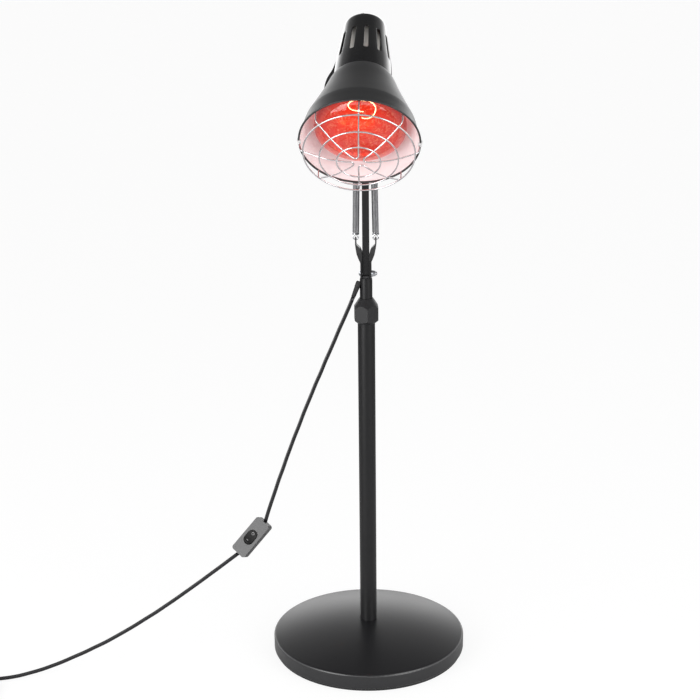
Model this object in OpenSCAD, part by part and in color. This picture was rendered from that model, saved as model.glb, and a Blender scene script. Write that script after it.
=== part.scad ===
// Infrared heat therapy lamp on a weighted round base.
// Millimetres. Origin: centre of the base's underside. +Z is up, the shade opens towards -Y.
// The mast stands fully lowered, the arm upright and the shade tipped down, as in the photograph.

/* [Base] */
// Diameter of the round base
base_d = 288; // [270:1:310]
// Height of the cover's crown around the pole
base_crown = 46; // [42:1:50]
// Wall of the pressed base cover
cover_wall = 1.5; // [1:0.1:2]
// Thickness of the cast weight's disc
weight_t = 15; // [10:1:18]
// Thickness of the felt pad under the base
pad_t = 2.5; // [2:0.5:4]

/* [Pole and mast] */
// Outer diameter of the lower pole
pole_d = 25; // [24:1:26]
// Wall of the lower pole and of the mast
tube_wall = 1.2; // [1:0.1:1.5]
// Height of the lower pole's top end
pole_top = 530; // [500:5:560]
// Outer diameter of the sliding mast
mast_d = 18; // [17:0.5:19]
// Height of the mast's top end when fully lowered
mast_top = 575; // [570:5:610]
// Width across flats of the clamping nut
nut_af = 33; // [32:1:36]

/* [Fork and arm] */
// Height of the tilt pivot above the mast's top end
tilt_up = 9; // [9:1:12]
// Distance from the tilt pivot to the head pivot
arm_reach = 251; // [220:1:280]
// Width of the square arm
arm_w = 9.6; // [9:0.1:10]
// Diameter of the two pivot bolts
bolt_d = 5; // [4:0.5:6]
// Clear width between fork or strap and arm, each side
cheek_gap = 0.3; // [0.3:0.05:0.5]

/* [Balance springs] */
// Height of the spring hooks above the tilt pivot
hook_up = 49.5; // [45:0.5:55]
// Height of the spring pin above the tilt pivot
pin_up = 174; // [165:0.5:185]
// Distance of each hook from the middle plane
hook_x = 14.2; // [14:0.1:15]
// Distance of each spring eye from the middle plane
eye_x = 11.9; // [11.5:0.1:12.5]
// Outer radius of the coiled springs
spring_r = 4.9; // [4.5:0.1:5]
// Wire diameter of the coils
spring_wire = 2; // [1.8:0.1:2.2]
// Number of coils in each spring
spring_coils = 28; // [24:1:30]

/* [Head] */
// Downward tip of the shade's axis, degrees
head_tip = 39.8; // [30:0.1:50]
// Distance of the head pivot below the shade's axis
pivot_drop = 51; // [50:0.5:55]
// Distance of the head pivot behind the rim plane
pivot_back = 133; // [128:1:138]
// Radius of the shade at its rim
rim_r = 79.5; // [76:0.5:84]
// Sheet thickness of shade and neck
sheet_t = 0.9; // [0.8:0.1:1.2]
// Number of vent slots round the neck
vent_count = 12; // [8:1:12]
// Width of a vent slot
vent_w = 5.7; // [4:0.1:6]
// Length of a vent slot
vent_len = 45; // [30:1:48]
// Largest radius of the bulb
bulb_r = 61; // [58:0.5:62]
// Wire diameter of the guard
guard_wire = 2.2; // [2:0.1:2.4]

/* [Cord] */
// Wide side of the flat twin cord
cord_w = 5.6; // [5:0.1:6]
// Narrow side of the flat twin cord
cord_t = 3.5; // [3:0.1:3.6]
// Radius of the coiled length at its middle turn
coil_r = 32; // [30:0.5:34]
// Turns of the coiled length
coil_turns = 4.183; // [3.183:1:4.183]

/* [Hidden] */
$fn = 96;
fit = 0.05;
base_r = base_d / 2;
edge_r = 4;
edge_x = base_r - edge_r;
dome_r = 525;
dome_z = base_crown - dome_r;
edge_z = dome_z + sqrt(pow(dome_r - edge_r, 2) - pow(edge_x, 2));
weight_r = base_r - 12;
hub_r = 30;
foot_z = 18;
pole_r = pole_d / 2;
pole_bore = pole_r - tube_wall;
mast_r = mast_d / 2;
mast_bore = mast_r - tube_wall;
mast_foot = 68;
nut_z = pole_top - 18;
nut_h = 36;
tilt_z = mast_top + tilt_up;
bolt_r = bolt_d / 2;
cheek_in = arm_w / 2 + cheek_gap;
cheek_out = cheek_in + 2.5;
hook_z = tilt_z + hook_up;
pin_z = tilt_z + pin_up;
head_z = tilt_z + arm_reach;
spring_len = pin_z - hook_z;
spring_lean = atan((hook_x - eye_x) / spring_len);
coil_mean = spring_r - spring_wire / 2;
tab_t = 1.6;
tab_r = 3.7;
hook_hole = 2.3;
ring_r = 3.6;
guard_r = guard_wire / 2;
guard_end = rim_r - 1.8;
guard_turn = 2;
strap_t = 2;
strap_rivets = [[-8, 36.45], [11, 34.6]];
slot_mid = 159.5;
gland_tilt = [0, 158, -166];
gland_pos = [-13.7, -3.1, 562];
switch_mid = [-169.1, -41.6, 193.6];
switch_turn = [-54.9, 48.7, -166];
switch_l = 61;
switch_w = 25;
switch_h = 15;
cord_z = cord_w / 2;
coil_pitch = cord_t + 0.6;
coil_layer = cord_w + 0.6;
coil_start = 104.1;
coil_out = coil_r + coil_turns * coil_pitch / 4;
coil_c = [-575 + coil_out * 0.243, -143 - coil_out * 0.97];
plug_at = [-612, -222, 7];

// Points of the cord from the mast's gland down to the switch.
upper_route = [
  [-18.2, -4.6, 550.6], [-24.5, -6, 535.5], [-31.5, -8, 519.5], [-38.5, -9.5, 504],
  [-45, -11, 488.5], [-52, -13, 472.5], [-59, -14.5, 457], [-65.5, -16, 441],
  [-72.5, -18, 425.5], [-79, -19.5, 409.5], [-85.5, -21, 394], [-92, -22.5, 378],
  [-98, -24, 362], [-104.5, -25.5, 346], [-110.5, -27, 330], [-116.5, -28.5, 314],
  [-122, -30, 298], [-128, -31.5, 282], [-133.5, -33, 265.5], [-139, -34.5, 249.5],
  [-144.5, -35.5, 233], [-149.5, -36.7, 216.5]
];

// Points of the cord from the switch to the floor and on to the coil.
lower_route = [
  [-188.6, -46.5, 170.6], [-202, -50, 161], [-215, -53, 151.5], [-228.5, -56.5, 142],
  [-242, -60, 132.5], [-255.5, -63, 123], [-269.5, -66.5, 113.5], [-283.5, -70, 104],
  [-297.5, -73.5, 95], [-311.5, -77, 86], [-326, -80.5, 77.5], [-340.5, -84.5, 69],
  [-355, -88, 61], [-370, -91.5, 53], [-385, -95.5, 45.5], [-400, -99, 39],
  [-415, -103, 32.5], [-430.5, -106.5, 26.5], [-446, -110.5, 20.5], [-461.5, -114.5, 15.5],
  [-477, -118.5, 11], [-493, -122.5, 7.5], [-509, -126.5, 4.5], [-525.5, -130.5, 3],
  [-542, -134.7, 2.8], [-558.5, -138.9, 2.8], [-575, -143, 2.8]
];

// Points of the lead from the neck's bush round to the arm.
lead_route = [
  [0, 35.7, 931.1], [0, 40.3, 935], [-1.5, 47.5, 939], [-5, 55.5, 940], [-10, 64, 937],
  [-15.5, 70.5, 930], [-21, 74.5, 920], [-27, 75.5, 908.5], [-32.5, 74.5, 897],
  [-37.5, 72, 885.5], [-42, 69, 874.5], [-47, 65, 863], [-54, 60, 852], [-57.5, 55.5, 840],
  [-55, 51.5, 828], [-47, 48, 818], [-36, 43.5, 811.5], [-24, 38, 808], [-12, 31, 806.5],
  [-4, 22.5, 806], [0, 15, 806], [0, 8, 806]
];

// Plan points of the cord's tail from the coil to the plug, and their heights.
tail_route = [[-605, -188, 9], [-608, -196, 8.2], [-610.5, -204, 7.4]];

base_pad();
base_weight();
base_cover();
base_bolt();
base_washer();
pole_foot();
lower_pole();
pole_sleeve();
lock_nut();
mast_tube();
mast_bush();
cord_gland();
fork();
tilt_bolt();
tilt_wing_nut();
arm_tube();
spring_pin();
arm_grommet();
spring_hooks();
spring_left();
spring_right();
spring_eyes();
head_bracket();
bracket_rivets();
head_bolt();
head_wing_nut();
neck();
shade();
shade_rivets();
lamp_socket();
socket_nipple();
socket_nut();
lead_bush();
bulb_glass();
bulb_base();
filament();
guard_ring_outer();
guard_ring_middle();
guard_ring_inner();
guard_spokes();
guard_clips();
head_lead();
switch_top();
switch_bottom();
switch_rocker();
switch_screws();
cord_upper();
cord_lower();
cord_coil();
cord_tie();
plug_body();
plug_pins();

function unit(v) = v / norm(v);

// Direction of a path at point i.
function heading(p, i) = unit(p[min(i + 1, len(p) - 1)] - p[max(i - 1, 0)]);

// Side vectors of a path, carried along it without twist.
function carried(p, first) = [
  for (i = 0, s = unit(first - (first * heading(p, 0)) * heading(p, 0)); i < len(p);
    i = i + 1,
    s = i < len(p) ? unit(s - (s * heading(p, i)) * heading(p, i)) : s) s
];

// Level side vectors of a path, so that a flat cord stands on its narrow side.
function level(p) = [for (i = [0 : len(p) - 1]) unit(cross(heading(p, i), [0, 0, 1]))];

// Rings of points round a path: half widths a and b, side vectors s.
function tube_rings(p, s, a, b, sides) = [
  for (i = [0 : len(p) - 1])
    let (t = heading(p, i), n = s[i], u = cross(n, t), turn = 180 / sides)
      [
        for (k = [0 : sides - 1])
          p[i] + n * a * cos(k * 360 / sides + turn) + u * b * sin(k * 360 / sides + turn)
      ]
];

// Least distance from a ring to the rings that follow it by near to far places.
function free_gap(rings, near, far) = min([
  for (i = [0 : len(rings) - 1 - near])
    for (j = [i + near : min(i + far, len(rings) - 1)])
      for (a = rings[i])
        for (b = rings[j]) norm(a - b)
]);

// Closed tube through rings of points.
module tube(rings) {
  sides = len(rings[0]);
  last = (len(rings) - 1) * sides;
  walls = [
    for (i = [0 : len(rings) - 2])
      for (k = [0 : sides - 1])
        let (q = i * sides + k, r = i * sides + (k + 1) % sides)
          each [[q, q + sides, r], [r, q + sides, r + sides]]
  ];
  ends = [[for (k = [0 : sides - 1]) k], [for (k = [sides - 1 : -1 : 0]) last + k]];
  polyhedron(points = [for (ring = rings) each ring], faces = concat(walls, ends), convexity = 10);
}

// Frame of the head: the rim plane is z = 0, +Z runs back along the shade's axis.
module head_frame() {
  translate([0, 0, head_z])
    rotate([head_tip - 90, 0, 0])
      translate([0, -pivot_drop, -pivot_back])
        children();
}

// Frame of one spring: the hook's centre is the origin, +Z runs up to the eye.
module spring_frame(side) {
  translate([side * hook_x, 0, hook_z])
    rotate([0, -side * spring_lean, 0])
      children();
}

// Cylinder along X from x0 to x1.
module bar_x(x0, x1, r) {
  translate([x0, 0, 0])
    rotate([0, 90, 0])
      cylinder(h = x1 - x0, r = r);
}

// Shallow domed bolt head: its flat face lies at x, the dome looks to -X.
module dome_head(x, r, h) {
  ball = (r * r + h * h) / (2 * h);
  intersection() {
    translate([x - h + ball, 0, 0]) sphere(r = ball);
    bar_x(x - h - 1, x, r);
  }
}

// Wing nut on the X axis, its seat at x = 0, wings up and down.
module wing_nut() {
  difference() {
    union() {
      rotate([0, 90, 0]) cylinder(h = 6, r1 = 4.8, r2 = 3.9);
      for (m = [0, 1])
        mirror([0, 0, m])
          rotate([90, 0, 0])
            translate([0, 0, -1])
              linear_extrude(height = 2)
                wing_outline();
    }
    bar_x(-1, 8, bolt_r + fit);
  }
}

// Outline of one wing, x along the bolt, y outwards.
module wing_outline() {
  polygon([
    [1, 3.4], [3.2, 6.4], [3.6, 8.6], [4.6, 10.4], [6.2, 11.4],
    [8, 11], [8.8, 9.4], [8.2, 6.6], [6.6, 4.4], [6, 3.4]
  ]);
}

// Rounded rectangle, l along X and w along Y.
module rounded(l, w, r) {
  square([l - 2 * r, w], center = true);
  square([l, w - 2 * r], center = true);
  for (x = [-1, 1], y = [-1, 1])
    translate([x * (l / 2 - r), y * (w / 2 - r)])
      circle(r = r);
}

// Half section of the cover's outer face, moved in by d.
module cover_section(d) {
  intersection() {
    translate([0, dome_z]) circle(r = dome_r - d, $fn = 720);
    square([edge_x * dome_r / (dome_r - edge_r), base_crown + 1]);
  }
  translate([edge_x, edge_z]) circle(r = edge_r - d);
  translate([0, 6]) square([base_r - d, edge_z - 6]);
  translate([base_r - 3, 6]) circle(r = 3 - d);
  translate([0, pad_t]) square([base_r - 3, 4]);
}

module base_pad() {
  color([0.08, 0.08, 0.09])
    difference() {
      cylinder(h = pad_t, r = weight_r + 2);
      translate([0, 0, -1]) cylinder(h = pad_t + 2, r = 16);
    }
}

module base_weight() {
  color([0.2, 0.2, 0.21])
    difference() {
      union() {
        translate([0, 0, pad_t]) cylinder(h = weight_t, r = weight_r);
        translate([0, 0, pad_t]) cylinder(h = base_crown - cover_wall - 1 - pad_t, r1 = hub_r + 6, r2 = hub_r - 8);
        for (a = [0 : 60 : 300])
          rotate([0, 0, a])
            translate([weight_r - 14, 0, pad_t])
              cylinder(h = edge_z - 1, r = 6);
      }
      translate([0, 0, foot_z]) cylinder(h = 40, r = pole_r + fit);
      translate([0, 0, 1]) cylinder(h = 10, r = 13);
      cylinder(h = 40, r = bolt_r + 3);
    }
}

module base_cover() {
  color([0.07, 0.07, 0.075])
    rotate_extrude()
      difference() {
        cover_section(0);
        difference() {
          cover_section(cover_wall);
          square([base_r, pad_t]);
          translate([base_r - 6, pad_t]) square([6, 2]);
        }
        square([base_r - 8, edge_z]);
        square([pole_r + 0.2, base_crown + 2]);
      }
}

module base_bolt() {
  color([0.75, 0.75, 0.77])
    union() {
      translate([0, 0, 2.8]) cylinder(h = 6.2, r = 9.8, $fn = 6);
      translate([0, 0, 5]) cylinder(h = 31, r = bolt_r + 2.5);
    }
}

module base_washer() {
  color([0.75, 0.75, 0.77])
    difference() {
      translate([0, 0, 9]) cylinder(h = 2, r = 11.5);
      cylinder(h = 20, r = bolt_r + 2.5 + fit);
    }
}

module pole_foot() {
  color([0.45, 0.45, 0.47])
    difference() {
      translate([0, 0, foot_z]) cylinder(h = 22, r = pole_bore - fit);
      cylinder(h = 60, r = bolt_r + 2.5 + fit);
    }
}

module lower_pole() {
  color([0.07, 0.07, 0.075])
    difference() {
      translate([0, 0, foot_z]) cylinder(h = pole_top - foot_z, r = pole_r);
      cylinder(h = pole_top + 1, r = pole_bore);
    }
}

module pole_sleeve() {
  color([0.2, 0.2, 0.21])
    difference() {
      rotate_extrude()
        polygon([
          [0, pole_top - 40], [pole_bore - fit, pole_top - 40], [pole_bore - fit, pole_top],
          [pole_r - 0.1, pole_top], [pole_r - 0.1, pole_top + 2], [pole_r - 0.5, pole_top + 2],
          [pole_r - 1.9, pole_top + 13], [0, pole_top + 13]
        ]);
      cylinder(h = pole_top + 20, r = mast_r + fit);
      for (a = [0, 90])
        rotate([0, 0, a])
          translate([-20, -0.6, pole_top + 3])
            cube([40, 1.2, 20]);
    }
}

module lock_nut() {
  color([0.08, 0.08, 0.09])
    difference() {
      intersection() {
        translate([0, 0, nut_z])
          rotate([0, 0, 38.4])
            cylinder(h = nut_h, r = nut_af / sqrt(3), $fn = 6);
        rotate_extrude()
          polygon([
            [0, nut_z], [13.6, nut_z], [nut_af * 0.585, nut_z + 4.8],
            [nut_af * 0.585, nut_z + 22.2], [10.4, nut_z + nut_h], [0, nut_z + nut_h]
          ]);
      }
      rotate_extrude()
        polygon([
          [0, nut_z - 1], [pole_r + 0.1, nut_z - 1], [pole_r + 0.1, pole_top + 3],
          [pole_r - 1.3, pole_top + 14], [mast_r + 0.3, pole_top + 14],
          [mast_r + 0.3, nut_z + nut_h + 1], [0, nut_z + nut_h + 1]
        ]);
    }
}

module mast_tube() {
  color([0.07, 0.07, 0.075])
    difference() {
      translate([0, 0, mast_foot]) cylinder(h = mast_top - mast_foot, r = mast_r);
      cylinder(h = mast_top + 1, r = mast_bore);
      translate([0, 0, gland_pos[2] + 4])
        rotate([0, -90, 14])
          cylinder(h = mast_d, r = 4);
    }
}

module mast_bush() {
  color([0.2, 0.2, 0.21])
    difference() {
      translate([0, 0, mast_foot]) cylinder(h = 30, r = pole_bore - 0.1);
      translate([0, 0, mast_foot - 1]) cylinder(h = 32, r = mast_r);
    }
}

module cord_gland() {
  color([0.08, 0.08, 0.09])
    difference() {
      union() {
        difference() {
          translate(gland_pos)
            rotate(gland_tilt)
              translate([0, 0, -16])
                cylinder(h = 28, r1 = 4.7, r2 = 3.7);
          cylinder(h = mast_top + 20, r = mast_r + fit);
          translate([-30, -30, mast_top - 0.5]) cube(60);
        }
        translate([0, 0, gland_pos[2] + 4])
          rotate([0, -90, 14])
            translate([0, 0, mast_bore - 0.4])
              cylinder(h = 4, r = 4 - fit);
      }
      translate(gland_pos)
        rotate(gland_tilt)
          translate([0, 0, -6])
            cylinder(h = 30, r = cord_w / 2);
    }
}

// Cheek outline of the fork in the XZ plane, right side.
module fork_front() {
  translate([0, mast_top])
    polygon([
      [cheek_in, 2.4], [cheek_out, 2.4], [cheek_out, 26], [10, 31], [12.7, 38], [14.2, 46],
      [hook_x + tab_t / 2, 52], [hook_x + tab_t / 2, 70], [hook_x - tab_t / 2, 70],
      [hook_x - tab_t / 2, 52], [12.2, 50.6], [8, 46.5], [5.9, 41.5], [cheek_in, 37]
    ]);
}

// Side outline of the fork in the YZ plane.
module fork_side() {
  translate([0, mast_top])
    polygon([
      [-8.6, 2], [8.6, 2], [8.6, 29], [7.5, 40], [6, 48], [tab_r, hook_z - mast_top],
      [-tab_r, hook_z - mast_top], [-6, 48], [-7.5, 40], [-8.6, 29]
    ]);
  translate([0, hook_z]) circle(r = tab_r);
}

module fork() {
  color([0.08, 0.08, 0.09])
    difference() {
      union() {
        translate([0, 0, mast_top]) cylinder(h = 2.5, r = mast_r - 0.25);
        translate([0, 0, mast_top - 27]) cylinder(h = 28, r = mast_bore - 0.1);
        for (m = [0, 1])
          mirror([m, 0, 0])
            intersection() {
              translate([0, 15, 0])
                rotate([90, 0, 0])
                  linear_extrude(height = 30)
                    fork_front();
              rotate([90, 0, 90])
                linear_extrude(height = 20)
                  fork_side();
            }
      }
      translate([0, 0, mast_top - 28]) cylinder(h = 26, r = mast_bore - 2);
      rotate([0, 0, 70])
        rotate_extrude(angle = 248)
          translate([4, gland_pos[2] - 2]) square([8, 12]);
      translate([0, 0, tilt_z]) bar_x(-20, 20, bolt_r + fit);
      translate([0, 0, hook_z]) bar_x(-20, 20, hook_hole);
    }
}

module tilt_bolt() {
  color([0.78, 0.78, 0.8])
    translate([0, 0, tilt_z]) {
      dome_head(-cheek_out, 5, 2.8);
      bar_x(-cheek_out - 0.5, cheek_out + 8, bolt_r);
    }
}

module tilt_wing_nut() {
  color([0.78, 0.78, 0.8])
    translate([cheek_out, 0, tilt_z])
      wing_nut();
}

module arm_tube() {
  hollow = arm_w - 2;
  color([0.07, 0.07, 0.075])
    difference() {
      union() {
        translate([-arm_w / 2, -arm_w / 2, tilt_z]) cube([arm_w, arm_w, arm_reach]);
        translate([0, 0, tilt_z]) bar_x(-arm_w / 2, arm_w / 2, arm_w / 2);
        translate([0, 0, head_z]) bar_x(-arm_w / 2, arm_w / 2, arm_w / 2);
      }
      translate([-hollow / 2, -hollow / 2, tilt_z - 10]) cube([hollow, hollow, arm_reach + 20]);
      translate([0, 0, tilt_z]) bar_x(-10, 10, bolt_r + fit);
      translate([0, 0, head_z]) bar_x(-10, 10, bolt_r + fit);
      translate([0, 0, pin_z]) bar_x(-10, 10, 1.5 + fit);
      translate([0, 0, 806]) rotate([-90, 0, 0]) cylinder(h = 10, r = 3.8);
    }
}

module spring_pin() {
  color([0.78, 0.78, 0.8])
    translate([0, 0, pin_z]) {
      bar_x(-eye_x - 3, eye_x + 3, 1.5);
      bar_x(-eye_x - 4.2, -eye_x - 2.4, 2.6);
      bar_x(eye_x + 2.4, eye_x + 4.2, 2.6);
    }
}

module arm_grommet() {
  color([0.08, 0.08, 0.09])
    translate([0, arm_w / 2, 806])
      rotate([-90, 0, 0])
        difference() {
          union() {
            translate([0, 0, -1]) cylinder(h = 2, r = 3.8 - fit);
            cylinder(h = 1.6, r = 4.6);
          }
          translate([0, 0, -2]) cylinder(h = 5, r = cord_w / 2 + fit);
        }
}

module spring_hooks() {
  color([0.78, 0.78, 0.8])
    for (side = [-1, 1])
      spring_frame(side) {
        translate([0, 0, ring_r - 0.4])
          rotate([90, 0, 0])
            rotate_extrude()
              translate([ring_r, 0]) circle(r = 1);
        translate([0, 0, 2 * ring_r]) cylinder(h = 1.6, r = spring_r);
        translate([0, 0, spring_len - 7])
          difference() {
            cylinder(h = 1.5, r = spring_r);
            translate([0, 0, -1]) cylinder(h = 4, r = 2.8);
          }
      }
}

// Coil of one spring between its hook plate and its top ring.
module coil_form() {
  low = 2 * ring_r + 1.6;
  high = spring_len - 7;
  rise = spring_wire * 2.2;
  steps = spring_coils * 8;
  pitch = (high - low - 2 * rise) / spring_coils;
  path = concat(
    [[coil_mean, 0, low], [coil_mean, 0, low + spring_wire], [coil_mean - 0.05, 0.6, low + rise - 0.9]],
    [for (i = [1 : steps - 1]) [coil_mean * cos(i * 45), coil_mean * sin(i * 45), low + rise + i * pitch / 8]],
    [[coil_mean - 0.05, -0.6, high - rise + 0.9], [coil_mean, 0, high - spring_wire], [coil_mean, 0, high]]
  );
  rings = tube_rings(path, carried(path, [1, 0, 0]), spring_wire / 2, spring_wire / 2, 6);
  echo(str("spring: least gap to itself ", free_gap(rings, 5, 11), " mm"));
  tube(rings);
}

module spring_left() {
  color([0.4, 0.4, 0.42])
    spring_frame(-1)
      coil_form();
}

module spring_right() {
  color([0.4, 0.4, 0.42])
    spring_frame(1)
      coil_form();
}

module spring_eyes() {
  color([0.78, 0.78, 0.8])
    for (side = [-1, 1])
      spring_frame(side)
        translate([0, 0, spring_len - 0.3]) {
          rotate([0, 90, 0])
            rotate_extrude()
              translate([3.2, 0]) circle(r = 0.95);
          translate([0, 0, -26]) cylinder(h = 23, r = 0.95);
        }
}

module head_bracket() {
  back_y = 38.4;
  color([0.08, 0.08, 0.09])
    head_frame()
      difference() {
        union() {
          translate([-cheek_in - strap_t, back_y, pivot_back - 16])
            cube([2 * (cheek_in + strap_t), strap_t + 1, 32]);
          for (side = [-1, 1])
            translate([side > 0 ? cheek_in : -cheek_in - strap_t, 0, 0])
              rotate([90, 0, 90])
                linear_extrude(height = strap_t)
                  strap_side(back_y);
        }
        rotate_extrude() neck_section(-fit);
        translate([0, pivot_drop, pivot_back]) bar_x(-20, 20, bolt_r + fit);
        for (p = strap_rivets)
          translate([0, 30, pivot_back + p[0]])
            rotate([-90, 0, 0])
              cylinder(h = 20, r = 2 + fit);
      }
}

// Side outline of the strap's cheek, y outwards from the shade's axis, z along it.
module strap_side(back_y) {
  polygon([
    [back_y, pivot_back - 16], [back_y + 5, pivot_back - 14], [pivot_drop + 3, pivot_back - 6.4],
    [pivot_drop + 3, pivot_back + 6.4], [back_y + 5, pivot_back + 14], [back_y, pivot_back + 16]
  ]);
  translate([pivot_drop, pivot_back]) circle(r = 7.1);
}

module bracket_rivets() {
  color([0.75, 0.75, 0.77])
    head_frame()
      for (p = strap_rivets)
        translate([0, p[1], pivot_back + p[0]])
          rotate([-90, 0, 0]) {
            cylinder(h = 1.1, r = 3.4);
            cylinder(h = 41.5 - p[1], r = 2);
            translate([0, 0, 41.4 - p[1]]) cylinder(h = 1.3, r = 3.4);
          }
}

module head_bolt() {
  color([0.78, 0.78, 0.8])
    translate([0, 0, head_z]) {
      dome_head(-cheek_in - strap_t, 5, 2.8);
      bar_x(-cheek_in - strap_t - 0.5, cheek_in + strap_t + 8, bolt_r);
    }
}

module head_wing_nut() {
  color([0.78, 0.78, 0.8])
    translate([cheek_in + strap_t, 0, head_z])
      wing_nut();
}

// Half section of the neck's outer face, moved in by d.
module neck_section(d) {
  polygon([
    [0, 109 - 2 * d], [39.3 - d, 109 - 2 * d], [39.2 - d, 118], [38.6 - d, 130], [37.8 - d, 140],
    [36.1 - d, 153], [34.3 - d, 168], [32.6 - d, 182], [31.2 - d, 195], [30.3 - d, 204],
    [29.6 - d, 207.4], [27.8 - d, 209.8], [24.6 - d, 211 - d], [0, 211 - d]
  ]);
}

module neck() {
  color([0.03, 0.03, 0.035])
    head_frame()
      difference() {
        rotate_extrude() neck_section(0);
        rotate_extrude() neck_section(sheet_t);
        cylinder(h = 300, r = 5.2);
        for (i = [0 : vent_count - 1])
          rotate([0, 0, -82.5 + i * 360 / vent_count])
            vent_slot();
        for (p = strap_rivets)
          translate([0, 30, pivot_back + p[0]])
            rotate([-90, 0, 0])
              cylinder(h = 15, r = 2 + fit);
        for (a = [-90, 30, 150])
          rotate([0, 0, a])
            translate([30, 0, 113.5])
              rotate([0, 90, 0])
                cylinder(h = 15, r = 1.6 + fit);
      }
}

// One vent slot with round ends, cut outwards along +X.
module vent_slot() {
  translate([20, 0, slot_mid]) {
    for (m = [-1, 1])
      translate([0, 0, m * (vent_len - vent_w) / 2])
        rotate([0, 90, 0])
          cylinder(h = 30, r = vent_w / 2);
    translate([0, -vent_w / 2, -(vent_len - vent_w) / 2])
      cube([30, vent_w, vent_len - vent_w]);
  }
}

// Radius of the shade's outer face at depth z, as a share of the rim's.
module shade_section(d) {
  k = rim_r / 79.5;
  polygon([
    [0, -1], [79.5 * k - d, -1], [79.5 * k - d, 0], [78.2 * k - d, 5], [76.9 * k - d, 10],
    [75.4 * k - d, 16], [74.2 * k - d, 22], [72.9 * k - d, 27], [71.1 * k - d, 32],
    [68.4 * k - d, 38.5], [65.5 * k - d, 45], [62.5 * k - d, 52.5], [59.4 * k - d, 60],
    [56.4 * k - d, 67.5], [53.5 * k - d, 75], [50.8 * k - d, 82.5], [48.2 * k - d, 90],
    [45.7 * k - d, 97], [43 * k - d, 103.5], [40.8 - d, 107], [38.2 - d, 109.2],
    [38.2 - d, 120 + d * 2], [0, 120 + d * 2]
  ]);
}

module shade() {
  color([0.12, 0.12, 0.125])
    head_frame()
      difference() {
        union() {
          rotate_extrude()
            difference() {
              shade_section(0);
              shade_section(sheet_t);
              translate([0, -2]) square([rim_r + 2, 2]);
            }
          translate([0, 0, 0.6])
            rotate_extrude()
              translate([rim_r - 0.6, 0]) circle(r = 1.3);
        }
        for (a = [-90, 30, 150])
          rotate([0, 0, a])
            translate([30, 0, 113.5])
              rotate([0, 90, 0])
                cylinder(h = 15, r = 1.6 + fit);
      }
}

module shade_rivets() {
  color([0.1, 0.1, 0.105])
    head_frame()
      for (a = [-90, 30, 150])
        rotate([0, 0, a])
          translate([36.3, 0, 113.5])
            rotate([0, 90, 0]) {
              cylinder(h = 3.4, r = 1.6);
              translate([0, 0, 3]) cylinder(h = 0.9, r = 2.6);
            }
}

module lamp_socket() {
  color([0.9, 0.88, 0.84])
    head_frame()
      difference() {
        union() {
          translate([0, 0, 147]) cylinder(h = 34, r = 21.5);
          translate([0, 0, 181]) cylinder(h = 10, r1 = 21.5, r2 = 15);
        }
        translate([0, 0, 146]) cylinder(h = 32, r = 13.5);
        translate([0, 0, 146.9]) cylinder(h = 4, r1 = 16, r2 = 13.5);
        translate([0, 0, 177]) cylinder(h = 20, r = 5 + fit);
      }
}

module socket_nipple() {
  color([0.75, 0.72, 0.5])
    head_frame()
      difference() {
        translate([0, 0, 184]) cylinder(h = 32, r = 5);
        translate([0, 0, 180]) cylinder(h = 40, r = 3.6);
      }
}

module socket_nut() {
  color([0.75, 0.75, 0.77])
    head_frame()
      difference() {
        translate([0, 0, 211]) cylinder(h = 3, r = 8, $fn = 6);
        translate([0, 0, 205]) cylinder(h = 12, r = 5 + fit);
      }
}

module lead_bush() {
  color([0.08, 0.08, 0.09])
    head_frame()
      difference() {
        union() {
          translate([0, 0, 214]) cylinder(h = 2.5, r = 6.6);
          translate([0, 0, 216.5]) cylinder(h = 7, r1 = 5.4, r2 = 4);
        }
        translate([0, 0, 213]) cylinder(h = 3, r = 5 + fit);
        translate([0, 0, 210]) cylinder(h = 20, r = cord_w / 2 + fit);
      }
}

// Half section of the bulb's outer face, moved in by d.
module bulb_section(d) {
  k = bulb_r / 61;
  polygon([
    [0, 1.5 + d], [15 * k, 2.2 + d], [30 * k, 4.6 + d], [(42 - d * 0.5) * k, 8.5 + d],
    [(50 - d * 0.7) * k, 12.5 + d], [(56 - d) * k, 17.5], [(59.8 - d) * k, 23], [(61 - d) * k, 28],
    [(60.2 - d) * k, 34], [(57 - d) * k, 43], [(51.5 - d) * k, 53], [(45 - d) * k, 64],
    [(38.5 - d) * k, 76], [(32.5 - d) * k, 88], [27 - d, 100], [22.5 - d, 112],
    [19.3 - d, 122], [17.5 - d, 132], [16.4 - d, 140], [14.8 - d, 146], [13.2 - d, 150 - d],
    [0, 150 - d]
  ]);
}

module bulb_glass() {
  color([0.75, 0.05, 0.03])
    head_frame()
      rotate_extrude()
        difference() {
          bulb_section(0);
          bulb_section(1);
        }
}

module bulb_base() {
  color([0.8, 0.8, 0.82])
    head_frame() {
      translate([0, 0, 150]) cylinder(h = 22, r = 13.1);
      translate([0, 0, 172]) cylinder(h = 4, r1 = 11, r2 = 6);
      translate([0, 0, 175.5]) cylinder(h = 1.7, r = 3.8);
    }
}

module filament() {
  color([1, 0.85, 0.4])
    head_frame() {
      translate([0, 0, 49])
        rotate_extrude(angle = 320, start = 110)
          translate([20, 0]) circle(r = 0.8);
      translate([0, 0, 108]) cylinder(h = 41, r = 4.5);
      for (a = [110, 216, 322, 430])
        rotate([0, 0, a])
          translate([3.6, 0, 110])
            rotate([0, 164.8, 0])
              cylinder(h = 63.3, r = 0.6);
    }
}

// Plain wire ring of the guard, depth z in front of the rim.
module guard_ring(r, z) {
  color([0.82, 0.82, 0.84])
    head_frame()
      translate([0, 0, -z])
        rotate_extrude()
          translate([r, 0]) circle(r = guard_r);
}

module guard_ring_outer() {
  guard_ring(72.5, 19);
}

module guard_ring_middle() {
  guard_ring(51, 28);
}

module guard_ring_inner() {
  guard_ring(28.3, 33.5);
}

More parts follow.
